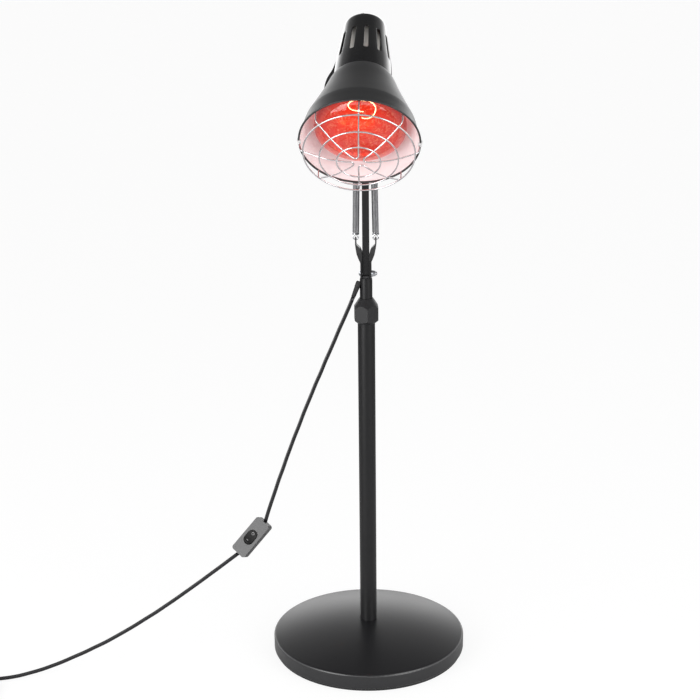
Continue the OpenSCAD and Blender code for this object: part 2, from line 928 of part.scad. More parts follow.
// One hairpin of guard wire: two spokes joined by a bend near the centre, both
// ends turned back to the rim. Each spoke point is its radius and its depth.
module guard_hairpin() {
  bend_c = 12;
  spoke = [
    [guard_end, -0.7], [guard_end, -5], [guard_end - 0.1, -9.5], [guard_end - 0.8, -12.9],
    [guard_end - 2.2, -15.2], [73, -16.8], [66, -19.9], [58.5, -23.1], [51, -26],
    [43, -28.6], [35, -30.5], [28.3, -31.5], [21, -32.5], [15.5, -33]
  ];
  path = concat(
    [for (p = spoke) [p[0] * cos(22.5), p[0] * sin(22.5), p[1]]],
    [for (a = [112.5 : 22.5 : 247.5])
      [bend_c + bend_c * sin(22.5) * cos(a), bend_c * sin(22.5) * sin(a), -33]],
    [for (i = [len(spoke) - 1 : -1 : 0])
      let (p = spoke[i]) [p[0] * cos(22.5), -p[0] * sin(22.5), p[1]]]
  );
  tube(tube_rings(path, carried(path, [0, 1, 0]), guard_r, guard_r, 8));
}

module guard_spokes() {
  color([0.82, 0.82, 0.84])
    head_frame()
      for (q = [0 : 90 : 270])
        rotate([0, 0, q + guard_turn - 112.5])
          guard_hairpin();
}

module guard_clips() {
  color([0.95, 0.95, 0.95])
    head_frame()
      for (side = [0, 180])
        rotate([0, 0, side + guard_turn])
          difference() {
            translate([rim_r - 3.6, -2.5, -2.6]) cube([5.4, 5, 6.6]);
            translate([0, 0, 0.6])
              rotate_extrude()
                translate([rim_r - 0.6, 0]) circle(r = 1.3 + fit);
            translate([0, 0, 1]) cylinder(h = 20, r1 = rim_r + fit, r2 = rim_r - 6.4);
            translate([guard_end, 0, -4]) cylinder(h = 3.7, r = guard_r + 4 * fit);
          }
}

module head_lead() {
  color([0.1, 0.1, 0.11])
    tube(tube_rings(lead_route, carried(lead_route, [1, 0, 0]), cord_t / 2, cord_w / 2, 8));
}

// Frame of the cord switch: x along the cord, z out of the rocker's face.
module switch_frame() {
  translate(switch_mid)
    rotate(switch_turn)
      children();
}

module switch_top() {
  color([0.25, 0.25, 0.27])
    switch_frame()
      difference() {
        linear_extrude(height = switch_h / 2) rounded(switch_l, switch_w, 4);
        translate([0, 0, -1]) linear_extrude(height = switch_h / 2 - 0.6) rounded(switch_l - 14, switch_w - 3.6, 3);
        translate([0, 0, 2]) linear_extrude(height = 10) rounded(24, 16, 7.9);
        bar_x(-40, 40, cord_w / 2);
        for (x = [-1, 1])
          translate([x * (switch_l / 2 - 5.5), 0, -1])
            cylinder(h = 4, r = 1.3);
      }
}

module switch_bottom() {
  color([0.22, 0.22, 0.24])
    switch_frame()
      difference() {
        translate([0, 0, -switch_h / 2]) linear_extrude(height = switch_h / 2) rounded(switch_l, switch_w, 4);
        translate([0, 0, 1.8 - switch_h / 2]) linear_extrude(height = 10) rounded(switch_l - 14, switch_w - 3.6, 3);
        bar_x(-40, 40, cord_w / 2);
        for (x = [-1, 1])
          translate([x * (switch_l / 2 - 5.5), x * 8, -10])
            cylinder(h = 20, r = 1.6);
      }
}

module switch_rocker() {
  color([0.25, 0.25, 0.27])
    switch_frame()
      translate([0, 0, 1.5])
        rotate([0, -6, 0])
          intersection() {
            translate([0, 0, -1.1]) linear_extrude(height = 10) rounded(22, 15, 7.4);
            translate([0, 8, 14.5]) rotate([90, 0, 0]) rock_section();
          }
}

// Rocker block with a shallow hollow face, x along the switch.
module rock_section() {
  linear_extrude(height = 16)
    difference() {
      translate([-12, -16]) square([24, 10]);
      translate([0, 22.3]) circle(r = 29.5);
    }
}

module switch_screws() {
  color([0.6, 0.6, 0.62])
    switch_frame()
      for (x = [-1, 1])
        translate([x * (switch_l / 2 - 5.5), x * 8, -switch_h / 2 + 0.3])
          cylinder(h = 6, r = 1.5);
}

module cord_upper() {
  color([0.1, 0.1, 0.11])
    tube(tube_rings(upper_route, level(upper_route), cord_t / 2, cord_w / 2 / cos(22.5), 8));
}

module cord_lower() {
  color([0.1, 0.1, 0.11])
    tube(tube_rings(lower_route, level(lower_route), cord_t / 2, cord_w / 2 / cos(22.5), 8));
}

// Point of the coil after t turns: inwards below, outwards above.
function coil_point(t) =
  let (
    half = coil_turns / 2,
    r = coil_out - coil_pitch * (half - abs(t - half)),
    up = min(1, max(0, (t - half + 0.25) * 2)),
    a = coil_start + 360 * t
  )
  [coil_c[0] + r * cos(a), coil_c[1] + r * sin(a), cord_z + coil_layer * up * up * (3 - 2 * up)];

module cord_coil() {
  steps = floor(coil_turns * 24);
  path = concat([for (i = [0 : steps]) coil_point(i / 24)], tail_route, [[plug_at[0], plug_at[1] + 10, 7]]);
  rings = tube_rings(path, level(path), cord_t / 2 / cos(30), cord_w / 2, 6);
  echo(str("cord coil: least gap to itself ", free_gap(rings, 12, len(rings)), " mm"));
  color([0.1, 0.1, 0.11])
    tube(rings);
}

module cord_tie() {
  color([0.15, 0.15, 0.16])
    translate([coil_c[0], coil_c[1], 0])
      rotate([0, 0, -40])
        translate([coil_r - 8.4, -3, 0])
          difference() {
            cube([16.8, 6, 2 * cord_w + 2.4]);
            translate([1.2, -1, 0.6]) cube([14.4, 8, 2 * cord_w + 0.7]);
          }
}

module plug_body() {
  color([0.08, 0.08, 0.09])
    translate(plug_at)
      rotate([90, 0, -6])
        difference() {
          union() {
            translate([0, 0, -10]) cylinder(h = 12, r1 = 4.2, r2 = 6);
            intersection() {
              translate([0, 0, 0]) linear_extrude(height = 36) rounded(26, 13.8, 6.5);
              translate([0, 8, 0]) rotate([90, 0, 0]) linear_extrude(height = 16)
                polygon([[-7, 0], [7, 0], [13, 12], [13, 36], [-13, 36], [-13, 12]]);
            }
          }
          translate([0, 0, -12]) cylinder(h = 10, r = cord_w / 2);
          for (x = [-1, 1])
            translate([x * 9.3, 0, 30])
              cylinder(h = 10, r = 2);
        }
}

module plug_pins() {
  color([0.8, 0.8, 0.82])
    translate(plug_at)
      rotate([90, 0, -6])
        for (x = [-1, 1])
          translate([x * 9.3, 0, 30]) {
            cylinder(h = 23, r = 2);
            translate([0, 0, 23]) cylinder(h = 2, r1 = 2, r2 = 1);
          }
}
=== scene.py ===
from math import asin, atan2, cos, degrees, pi, radians, sin

import bpy
from mathutils import Matrix, Vector


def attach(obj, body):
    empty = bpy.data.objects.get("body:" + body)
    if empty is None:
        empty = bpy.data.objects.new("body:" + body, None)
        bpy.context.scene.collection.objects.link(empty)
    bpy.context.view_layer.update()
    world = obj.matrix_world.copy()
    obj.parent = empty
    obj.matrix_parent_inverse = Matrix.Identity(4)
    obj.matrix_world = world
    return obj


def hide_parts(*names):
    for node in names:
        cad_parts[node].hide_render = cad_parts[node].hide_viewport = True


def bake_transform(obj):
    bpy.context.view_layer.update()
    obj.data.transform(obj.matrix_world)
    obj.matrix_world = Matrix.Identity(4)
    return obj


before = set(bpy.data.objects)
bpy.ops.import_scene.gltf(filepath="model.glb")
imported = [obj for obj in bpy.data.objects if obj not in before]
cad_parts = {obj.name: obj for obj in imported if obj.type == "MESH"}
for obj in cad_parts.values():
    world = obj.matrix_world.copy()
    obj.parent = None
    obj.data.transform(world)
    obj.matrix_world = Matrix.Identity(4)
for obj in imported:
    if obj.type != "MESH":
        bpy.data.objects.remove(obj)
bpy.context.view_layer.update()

# Camera. It stands two metres in front of the lamp and a metre up, a little to the right,
# and looks gently down. Its lens is that of a short telephoto.
CAMERA_AT = (0.1075, -2.0383, 1.0591)
LOOK_DOWN = radians(16.08)
LOOK_LEFT = radians(3.691)
CAMERA_ROLL = radians(-0.617)
SENSOR = 36.0
FOCAL_PIXELS = 1470.6
IMAGE_PIXELS = 700
CLIP_END = 100.0

ahead = Vector((-sin(LOOK_LEFT) * cos(LOOK_DOWN), cos(LOOK_LEFT) * cos(LOOK_DOWN), -sin(LOOK_DOWN)))
level_right = Vector((cos(LOOK_LEFT), sin(LOOK_LEFT), 0))
level_up = level_right.cross(ahead)
right = level_right * cos(CAMERA_ROLL) + level_up * sin(CAMERA_ROLL)
up = level_up * cos(CAMERA_ROLL) - level_right * sin(CAMERA_ROLL)
camera_data = bpy.data.cameras.new("camera")
camera_data.sensor_width = SENSOR
camera_data.sensor_height = SENSOR
camera_data.lens = FOCAL_PIXELS / IMAGE_PIXELS * SENSOR
camera_data.clip_end = CLIP_END
camera = bpy.data.objects.new("camera", camera_data)
facing = Matrix((right, up, -ahead)).transposed().to_4x4()
camera.matrix_world = Matrix.Translation(CAMERA_AT) @ facing
bpy.context.scene.collection.objects.link(camera)
bpy.context.scene.camera = camera


# Room. A pale floor that runs out of sight, a bright even backdrop that fades to a dark
# ceiling, and two large soft lamps, so that dark paint shows broad quiet reflections.
FLOOR_SIZE = 60.0
FLOOR_PALE = (0.93, 0.93, 0.93, 1)
# The floor that the camera sees is mostly evenly lit, and keeps a share of its shadows.
LIT_FLOOR = 1.06
LIT_SHARE = 0.8
# In reflections the floor grows dim with its distance from the lamp.
DIM_FLOOR = 0.1
DIM_SHARE = 0.85
FLOOR_NEAR = -0.3
FLOOR_FADE = 2.2
SKY_LIGHT = 0.62
BACKDROP = 2.35
# Brightness of the backdrop's reflection against the upward slope of the ray.
CEILING = ((0.0, 1.0), (0.15, 1.0), (0.3, 0.5), (0.45, 0.19), (0.8, 0.07), (1.0, 0.06))
# Name, place, point aimed at and power of each soft lamp.
LAMPS = (
    ("key lamp", (-1.4, -1.65, 0.75), (0, 0, 0.55), 26),
    ("fill lamp", (1.9, -1.5, 1.0), (0, 0, 0.5), 20),
)
LAMP_SIZE = 1.3


class Signal:
    """An output of a shader node. Arithmetic on it adds Math nodes."""

    def __init__(self, tree, socket):
        self.tree, self.socket = tree, socket

    def maths(self, operation, *values):
        node = self.tree.nodes.new("ShaderNodeMath")
        node.operation = operation
        for entry, value in zip(node.inputs, values):
            if isinstance(value, Signal):
                self.tree.links.new(value.socket, entry)
            else:
                entry.default_value = value
        return Signal(self.tree, node.outputs[0])

    def __add__(self, other):
        return self.maths("ADD", self, other)

    def __sub__(self, other):
        return self.maths("SUBTRACT", self, other)

    def __rsub__(self, other):
        return self.maths("SUBTRACT", other, self)

    def __mul__(self, other):
        return self.maths("MULTIPLY", self, other)

    def __truediv__(self, other):
        return self.maths("DIVIDE", self, other)

    def __pow__(self, other):
        return self.maths("POWER", self, other)

    def at_least(self, other):
        return self.maths("MAXIMUM", self, other)

    def at_most(self, other):
        return self.maths("MINIMUM", self, other)


def ray_kinds(tree):
    """Whether a ray comes from the camera, straight or through glass, and whether it is a reflection."""
    rays = tree.nodes.new("ShaderNodeLightPath")
    kinds = ("Is Camera Ray", "Is Transmission Ray", "Is Glossy Ray")
    straight, through_glass, reflected = (Signal(tree, rays.outputs[kind]) for kind in kinds)
    return straight.at_least(through_glass), reflected


class Finish:
    """A material on one Principled shader, whose even values are set on its own sockets."""

    def __init__(self, name, **even):
        self.material = bpy.data.materials.new(name)
        self.material.use_nodes = True
        self.tree = self.material.node_tree
        self.shader = self.tree.nodes["Principled BSDF"]
        for socket, value in even.items():
            self.shader.inputs[socket.replace("_", " ")].default_value = value
        self.place = self.node("ShaderNodeTexCoord", output="Object")

    def node(self, kind, settings=None, inputs=None, output=0):
        node = self.tree.nodes.new(kind)
        for key, value in (settings or {}).items():
            setattr(node, key, value)
        for key, value in (inputs or {}).items():
            if isinstance(value, Signal):
                self.tree.links.new(value.socket, node.inputs[key])
            else:
                node.inputs[key].default_value = value
        return Signal(self.tree, node.outputs[output])

    def feed(self, socket, signal):
        self.tree.links.new(signal.socket, self.shader.inputs[socket])

    def noise(self, scale, detail=2.0, stretch=(1, 1, 1)):
        place = self.node("ShaderNodeMapping", {}, {"Vector": self.place, "Scale": stretch})
        return self.node("ShaderNodeTexNoise", {}, {"Vector": place, "Scale": scale, "Detail": detail})

    def mixed(self, share, first, second):
        first, second = [c if isinstance(c, Signal) else (*c, 1) for c in (first, second)]
        return self.node("ShaderNodeMix", {"data_type": "RGBA"}, {0: share, 6: first, 7: second}, output=2)

    def colour(self, share, first, second, socket="Base Color"):
        self.feed(socket, self.mixed(share, first, second))

    def roughen(self, share, spread, least):
        self.feed("Roughness", share * spread + least)

    def bump(self, height, depth, strength=1.0):
        normal = self.node("ShaderNodeBump", {}, {"Height": height, "Distance": depth, "Strength": strength})
        self.feed("Normal", normal)


bpy.ops.object.select_all(action="DESELECT")
bpy.ops.mesh.primitive_plane_add(size=FLOOR_SIZE)
floor = bpy.context.object
floor.name = "floor"
floor_paint = Finish("floor", Base_Color=FLOOR_PALE, Roughness=0.8)
seen, mirrored = ray_kinds(floor_paint.tree)
distance = floor_paint.node(
    "ShaderNodeVectorMath", {"operation": "LENGTH"}, {"Vector": floor_paint.place}, output=1
)
far_off = ((distance - FLOOR_NEAR) / FLOOR_FADE).at_most(1).at_least(0)
surface = floor_paint.shader.outputs[0]
for glow, share in ((LIT_FLOOR, seen * LIT_SHARE), (DIM_FLOOR, far_off * mirrored * DIM_SHARE)):
    emission = floor_paint.tree.nodes.new("ShaderNodeEmission")
    emission.inputs["Strength"].default_value = glow
    mixer = floor_paint.tree.nodes.new("ShaderNodeMixShader")
    for entry, source in zip(mixer.inputs, (share.socket, surface, emission.outputs[0])):
        floor_paint.tree.links.new(source, entry)
    surface = mixer.outputs[0]
floor_paint.tree.links.new(surface, floor_paint.tree.nodes["Material Output"].inputs[0])
floor.data.materials.append(floor_paint.material)

world = bpy.context.scene.world or bpy.data.worlds.new("room")
bpy.context.scene.world = world
world.use_nodes = True
sky = world.node_tree
sky.nodes.clear()
seen, mirrored = ray_kinds(sky)
direction = sky.nodes.new("ShaderNodeTexCoord")
slope = sky.nodes.new("ShaderNodeSeparateXYZ")
ramp = sky.nodes.new("ShaderNodeValToRGB")
sky.links.new(direction.outputs["Generated"], slope.inputs[0])
sky.links.new(slope.outputs["Z"], ramp.inputs[0])
while len(ramp.color_ramp.elements) < len(CEILING):
    ramp.color_ramp.elements.new(1)
for element, (height, light) in zip(ramp.color_ramp.elements, CEILING):
    element.position, element.color = height, (light, light, light, 1)
unmirrored = (1 - seen) * SKY_LIGHT + seen
strength = unmirrored * (1 - mirrored) + Signal(sky, ramp.outputs[0]) * mirrored * BACKDROP
background = sky.nodes.new("ShaderNodeBackground")
background.inputs["Color"].default_value = (1, 1, 1, 1)
sky.links.new(strength.socket, background.inputs["Strength"])
world_output = sky.nodes.new("ShaderNodeOutputWorld")
sky.links.new(background.outputs[0], world_output.inputs[0])

for name, place, aim, power in LAMPS:
    lamp_data = bpy.data.lights.new(name, "AREA")
    lamp_data.size = LAMP_SIZE
    lamp_data.energy = power
    lamp = bpy.data.objects.new(name, lamp_data)
    towards = (Vector(place) - Vector(aim)).to_track_quat("Z", "Y")
    lamp.matrix_world = Matrix.Translation(place) @ towards.to_matrix().to_4x4()
    bpy.context.scene.collection.objects.link(lamp)
bpy.context.scene.view_settings.view_transform = "Standard"

# Mains cord. Flat twin cable in smooth black sheath, 5.6 by 3.5 mm. It hangs from the gland
# to the switch, slopes down to the floor and ends in a tied coil with the plug.
CORD_WIDE = 0.0056
CORD_THIN = 0.0035
UPPER_ROUTE = [
    (-18.2, -4.6, 550.6), (-24.5, -6, 535.5), (-31.5, -8, 519.5), (-38.5, -9.5, 504),
    (-45, -11, 488.5), (-52, -13, 472.5), (-59, -14.5, 457), (-65.5, -16, 441),
    (-72.5, -18, 425.5), (-79, -19.5, 409.5), (-85.5, -21, 394), (-92, -22.5, 378),
    (-98, -24, 362), (-104.5, -25.5, 346), (-110.5, -27, 330), (-116.5, -28.5, 314),
    (-122, -30, 298), (-128, -31.5, 282), (-133.5, -33, 265.5), (-139, -34.5, 249.5),
    (-144.5, -35.5, 233), (-149.5, -36.7, 216.5),
]
LOWER_ROUTE = [
    (-188.6, -46.5, 170.6), (-202, -50, 161), (-215, -53, 151.5), (-228.5, -56.5, 142),
    (-242, -60, 132.5), (-255.5, -63, 123), (-269.5, -66.5, 113.5), (-283.5, -70, 104),
    (-297.5, -73.5, 95), (-311.5, -77, 86), (-326, -80.5, 77.5), (-340.5, -84.5, 69),
    (-355, -88, 61), (-370, -91.5, 53), (-385, -95.5, 45.5), (-400, -99, 39),
    (-415, -103, 32.5), (-430.5, -106.5, 26.5), (-446, -110.5, 20.5), (-461.5, -114.5, 15.5),
    (-477, -118.5, 11), (-493, -122.5, 7.5), (-509, -126.5, 4.5), (-525.5, -130.5, 3),
    (-542, -134.7, 2.8), (-558.5, -138.9, 2.8), (-575, -143, 2.8),
]
TAIL_ROUTE = [(-605, -188, 9), (-608, -196, 8.2), (-610.5, -204, 7.4), (-612, -212, 7)]
COIL_RADIUS = 0.032
COIL_TURNS = 4.183
COIL_PITCH = CORD_THIN + 0.0006
COIL_LAYER = CORD_WIDE + 0.0006
COIL_START = radians(104.1)
COIL_OUTER = COIL_RADIUS + COIL_TURNS * COIL_PITCH / 4
COIL_CENTRE = Vector((-0.575 + COIL_OUTER * 0.243, -0.143 - COIL_OUTER * 0.97, CORD_WIDE / 2))
COIL_STEPS_A_TURN = 24
CABLE_SIDES = 18
CABLE_GROOVE = 0.3
CABLE_SQUARENESS = 0.75


def in_metres(route):
    return [Vector(p) / 1000 for p in route]


def coil_point(turn):
    """Point of the coil after so many turns: inwards below, half a turn's climb, back outwards above."""
    half = COIL_TURNS / 2
    radius = COIL_OUTER - COIL_PITCH * (half - abs(turn - half))
    climb = min(1, max(0, (turn - half + 0.25) * 2))
    angle = COIL_START + 2 * pi * turn
    rise = COIL_LAYER * climb * climb * (3 - 2 * climb)
    return COIL_CENTRE + Vector((radius * cos(angle), radius * sin(angle), rise))


def eased(points, steps):
    """A smooth run of points through the given ones."""
    padded = [2 * points[0] - points[1], *points, 2 * points[-1] - points[-2]]
    run = []
    for a, b, c, d in zip(padded, padded[1:], padded[2:], padded[3:]):
        for i in range(steps):
            t = i / steps
            square, cube = 2 * a - 5 * b + 4 * c - d, 3 * b - a - 3 * c + d
            run.append(0.5 * (2 * b + (c - a) * t + square * t * t + cube * t ** 3))
    return [*run, points[-1]]


def flat_cable(name, path, first=None):
    """Closed flat twin cable along a path. Its wide side stands upright, unless first is its narrow
    side's direction at the start, which is then carried along."""
    rings, side = [], first
    for i, point in enumerate(path):
        heading = (path[min(i + 1, len(path) - 1)] - path[max(i - 1, 0)]).normalized()
        if first is None:
            side = heading.cross(Vector((0, 0, 1)))
        side = (side - side.dot(heading) * heading).normalized()
        over = side.cross(heading)
        for k in range(CABLE_SIDES):
            angle = 2 * pi * (k + 0.5) / CABLE_SIDES
            across, along = cos(angle), sin(angle)
            groove = 1 - CABLE_GROOVE * max(0.0, 1 - abs(along) * 3)
            flat = CORD_WIDE / 2 * along
            bulge = CORD_THIN / 2 * (abs(across) ** CABLE_SQUARENESS) * (1 if across > 0 else -1) * groove
            rings.append(point + side * bulge + over * flat)
    faces = []
    for i in range(len(path) - 1):
        near, far = i * CABLE_SIDES, (i + 1) * CABLE_SIDES
        for k in range(CABLE_SIDES):
            after = (k + 1) % CABLE_SIDES
            faces.append((near + k, near + after, far + after, far + k))
    last = (len(path) - 1) * CABLE_SIDES
    faces.append(tuple(range(CABLE_SIDES))[::-1])
    faces.append(tuple(last + k for k in range(CABLE_SIDES)))
    mesh = bpy.data.meshes.new(name)
    mesh.from_pydata(rings, [], faces)
    mesh.polygons.foreach_set("use_smooth", [len(f) == 4 for f in faces])
    cable = bpy.data.objects.new(name, mesh)
    bpy.context.scene.collection.objects.link(cable)
    bpy.ops.object.select_all(action="DESELECT")
    bpy.context.view_layer.objects.active = cable
    cable.select_set(True)
    bpy.ops.object.mode_set(mode="EDIT")
    bpy.ops.mesh.select_all(action="SELECT")
    bpy.ops.mesh.normals_make_consistent(inside=False)
    bpy.ops.object.mode_set(mode="OBJECT")
    return cable


def length_of(path):
    return sum((b - a).length for a, b in zip(path, path[1:]))


sheath = Finish("cord sheath", Roughness=0.38, Specular_IOR_Level=0.45)
sheath_tone = sheath.noise(260, 3)
sheath.colour(sheath_tone, (0.008, 0.008, 0.009), (0.02, 0.02, 0.022))
sheath.roughen(sheath.noise(900), 0.12, 0.2)
sheath.bump(sheath.noise(1500), 0.00008, 0.4)

upper_path = eased(in_metres(UPPER_ROUTE), 3)
cord_upper = flat_cable("mains_cord_upper", upper_path)
cord_upper.data.materials.append(sheath.material)
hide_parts("cord_upper")
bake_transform(cord_upper)
length_of(upper_path)

coil_steps = int(COIL_TURNS * COIL_STEPS_A_TURN)
coil_path = [coil_point(i / COIL_STEPS_A_TURN) for i in range(coil_steps + 1)]
lower_path = eased(in_metres(LOWER_ROUTE)[:-1] + coil_path + in_metres(TAIL_ROUTE), 2)
cord_lower = flat_cable("mains_cord_lower", lower_path)
cord_lower.data.materials.append(sheath.material)
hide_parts("cord_lower", "cord_coil")
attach(cord_lower, "stand")
length_of(lower_path)

# Lead from the socket to the arm. The same flat black cable leaves the neck's back through a
# rubber bush, hangs in a bow beside the neck and enters the arm through a grommet.
LEAD_ROUTE = [
    (0, 35.7, 931.1), (0, 40.3, 935), (-1.5, 47.5, 939), (-5, 55.5, 940), (-10, 64, 937),
    (-15.5, 70.5, 930), (-21, 74.5, 920), (-27, 75.5, 908.5), (-32.5, 74.5, 897),
    (-37.5, 72, 885.5), (-42, 69, 874.5), (-47, 65, 863), (-54, 60, 852), (-57.5, 55.5, 840),
    (-55, 51.5, 828), (-47, 48, 818), (-36, 43.5, 811.5), (-24, 38, 808), (-12, 31, 806.5),
    (-4, 22.5, 806), (0, 15, 806), (0, 8, 806),
]
lead_path = eased(in_metres(LEAD_ROUTE), 3)
head_lead = flat_cable("head_lead_sleeve", lead_path, first=Vector((1, 0, 0)))
head_lead.data.materials.append(sheath.material)
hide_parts("head_lead")
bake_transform(head_lead)
length_of(lead_path)

# Base. A pressed steel cover with a low dome and a rolled edge, powder coated in a smooth
# satin black.
def dress(finish, *nodes):
    """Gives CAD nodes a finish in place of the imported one."""
    for node in nodes:
        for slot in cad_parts[node].material_slots:
            slot.material = finish.material


def powder_coat(name, dark, light, specular, least_rough):
    """Paint with a fine orange peel and broad, faint clouds in its tone and gloss."""
    coat = Finish(name, Specular_IOR_Level=specular)
    peel, cloud = coat.noise(1400, 3), coat.noise(9, 4)
    coat.colour(cloud, dark, light)
    coat.feed("Roughness", peel * 0.08 + cloud * 0.08 + least_rough)
    coat.bump(peel, 0.00003, 0.35)
    return coat


cover_coat = powder_coat(
    "smooth black powder coat", (0.006, 0.006, 0.007), (0.011, 0.011, 0.013), specular=0.74, least_rough=0.24
)
dress(cover_coat, "base_cover")

# Pole, mast and arm. Steel tubes, a bent sheet fork and a strap, in a duller black powder coat.
satin = powder_coat(
    "satin black powder coat", (0.005, 0.005, 0.0055), (0.01, 0.01, 0.011), specular=0.4, least_rough=0.26
)
dress(satin, "lower_pole", "mast_tube", "arm_tube", "fork", "head_bracket")

# Under the base. A felt pad is glued to a cast iron weight, which a bolt and a washer hold
# to the threaded foot of the pole.
felt = Finish("black felt", Roughness=0.97)
fibres = felt.noise(2600, 5, (1, 1, 0.2))
felt.colour(fibres, (0.012, 0.012, 0.014), (0.06, 0.06, 0.066))
felt.bump(fibres, 0.0004, 0.9)
dress(felt, "base_pad")

casting = Finish("cast iron", Metallic=0.85)
grit = casting.noise(420, 6)
casting.colour(casting.noise(60), (0.05, 0.05, 0.052), (0.12, 0.118, 0.115))
casting.roughen(grit, 0.3, 0.5)
casting.bump(grit, 0.0003, 0.7)
dress(casting, "base_weight")

zinc = Finish("bright zinc", Metallic=1.0)
spangle = zinc.node("ShaderNodeTexVoronoi", {}, {"Vector": zinc.place, "Scale": 700.0})
zinc.colour(spangle, (0.72, 0.74, 0.77), (0.56, 0.58, 0.62))
zinc.roughen(zinc.noise(1800), 0.16, 0.18)
zinc.bump(zinc.noise(3000), 0.00002, 0.4)
dress(
    zinc, "base_bolt", "base_washer", "tilt_bolt", "spring_pin", "bracket_rivets", "head_bolt", "socket_nut",
    "switch_screws",
)

turning = Finish("turned steel", Metallic=1.0)
rings = turning.node(
    "ShaderNodeTexWave", {"wave_type": "BANDS", "bands_direction": "Z"},
    {"Vector": turning.place, "Scale": 900.0, "Distortion": 0.4},
)
turning.colour(rings, (0.36, 0.36, 0.38), (0.5, 0.5, 0.52))
turning.roughen(rings, 0.15, 0.25)
turning.bump(rings, 0.00002, 0.5)
dress(turning, "pole_foot")

# Clamp. A hexagonal moulded nut with a conical top squeezes the fingers of a plastic sleeve
# round the mast. The mast's foot slides in the pole on a plastic bush.
moulded = Finish("moulded black plastic", Specular_IOR_Level=0.38)
grain = moulded.node(
    "ShaderNodeTexVoronoi", {"feature": "SMOOTH_F1"}, {"Vector": moulded.place, "Scale": 2400.0}
)
moulded.colour(moulded.noise(40, 3), (0.011, 0.011, 0.012), (0.019, 0.019, 0.02))
moulded.roughen(grain, 0.15, 0.34)
moulded.bump(grain, 0.00004, 0.35)
dress(moulded, "lock_nut")

nylon = Finish("dark nylon")
nylon_tone = nylon.noise(150, 3)
nylon.colour(nylon_tone, (0.02, 0.02, 0.022), (0.032, 0.032, 0.035))
nylon.roughen(nylon_tone, 0.2, 0.42)
nylon.bump(nylon.noise(2000), 0.00003, 0.3)
dress(nylon, "pole_sleeve", "mast_bush")

# Gland. A soft ribbed rubber cone grips the cord where it comes out of the mast's top. The
# same rubber lines the holes at both ends of the lead.
rubber = Finish("soft black rubber", Specular_IOR_Level=0.35)
bloom = rubber.noise(500, 4)
rubber.colour(bloom, (0.009, 0.009, 0.009), (0.022, 0.022, 0.022))
rubber.roughen(bloom, 0.2, 0.5)
rubber.bump(rubber.noise(1900, 3), 0.00006, 0.5)
dress(rubber, "arm_grommet", "lead_bush")


def hand_over(piece, finish, slot, body, *nodes):
    """Gives a piece its finish and the body it rides on, and hides the nodes it stands for. Its slot is not
    used.
    """
    piece.data.materials.clear()
    piece.data.materials.append(finish.material)
    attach(piece, body)
    if nodes:
        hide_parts(*nodes)


def turned(name, profile, columns=96, frame_of=Matrix.Identity(4), sharp=30):
    """Solid of revolution: a circle, extruded and scaled from point to point of a closed profile."""
    (radius, height), *rest = profile
    bpy.ops.object.select_all(action="DESELECT")
    bpy.ops.mesh.primitive_circle_add(vertices=columns, radius=radius)
    piece = bpy.context.object
    piece.name = name
    bpy.ops.object.mode_set(mode="EDIT")
    bpy.ops.mesh.select_all(action="SELECT")
    bpy.ops.transform.translate(value=(0, 0, height))
    for new_radius, new_height in rest:
        bpy.ops.mesh.extrude_region_move(TRANSFORM_OT_translate={"value": (0, 0, new_height - height)})
        spread = new_radius / radius
        bpy.ops.transform.resize(value=(spread, spread, 1), center_override=(0, 0, new_height))
        radius, height = new_radius, new_height
    bpy.ops.mesh.select_all(action="SELECT")
    bpy.ops.mesh.remove_doubles(threshold=0.00002)
    bpy.ops.mesh.normals_make_consistent(inside=False)
    bpy.ops.object.mode_set(mode="OBJECT")
    piece.matrix_world = frame_of
    bpy.ops.object.transform_apply(location=True, rotation=True, scale=True)
    bpy.ops.object.shade_smooth_by_angle(angle=radians(sharp))
    return piece


def profile_in_metres(profile):
    return [(r / 1000, s / 1000) for r, s in profile]


GLAND_AT = (-0.0137, -0.0031, 0.562)
GLAND_HEADING = radians(-166)
GLAND_LEAN = radians(158)
GLAND_RIBS = 5
GLAND_PITCH = 2.8
gland_frame = (
    Matrix.Translation(GLAND_AT) @ Matrix.Rotation(GLAND_HEADING, 4, "Z")
    @ Matrix.Rotation(GLAND_LEAN, 4, "Y")
)
gland_profile = [(3.3, -11.4), (3.9, -10.9), (4.1, -10), (4.1, -3)]
for rib in range(GLAND_RIBS):
    crest, valley, start = 3.95 - 0.16 * rib, 3.6 - 0.14 * rib, GLAND_PITCH * rib
    gland_profile += [(crest, start - 2.4), (valley, start - 2.0), (valley, start - 0.6)]
gland_profile += [(3.3, 11.6), (3.1, 12), (2.9, 12), (2.85, -11.4), (3.3, -11.4)]
gland = turned("ribbed_gland", profile_in_metres(gland_profile), columns=40, frame_of=gland_frame)
hand_over(gland, rubber, "black_rubber", "mast", "cord_gland")

# Saddle. A nylon block on the fork's web, hollowed to the arm's round lower end, so that no
# light shows through between them.
TILT_PIVOT = (0, 0, 0.584)
SADDLE_AT = (0, 0, 0.5793)
SADDLE_SIZE = (0.0094, 0.0104, 0.0036)
SADDLE_HOLLOW = 0.00505
SADDLE_EDGE = 0.0002

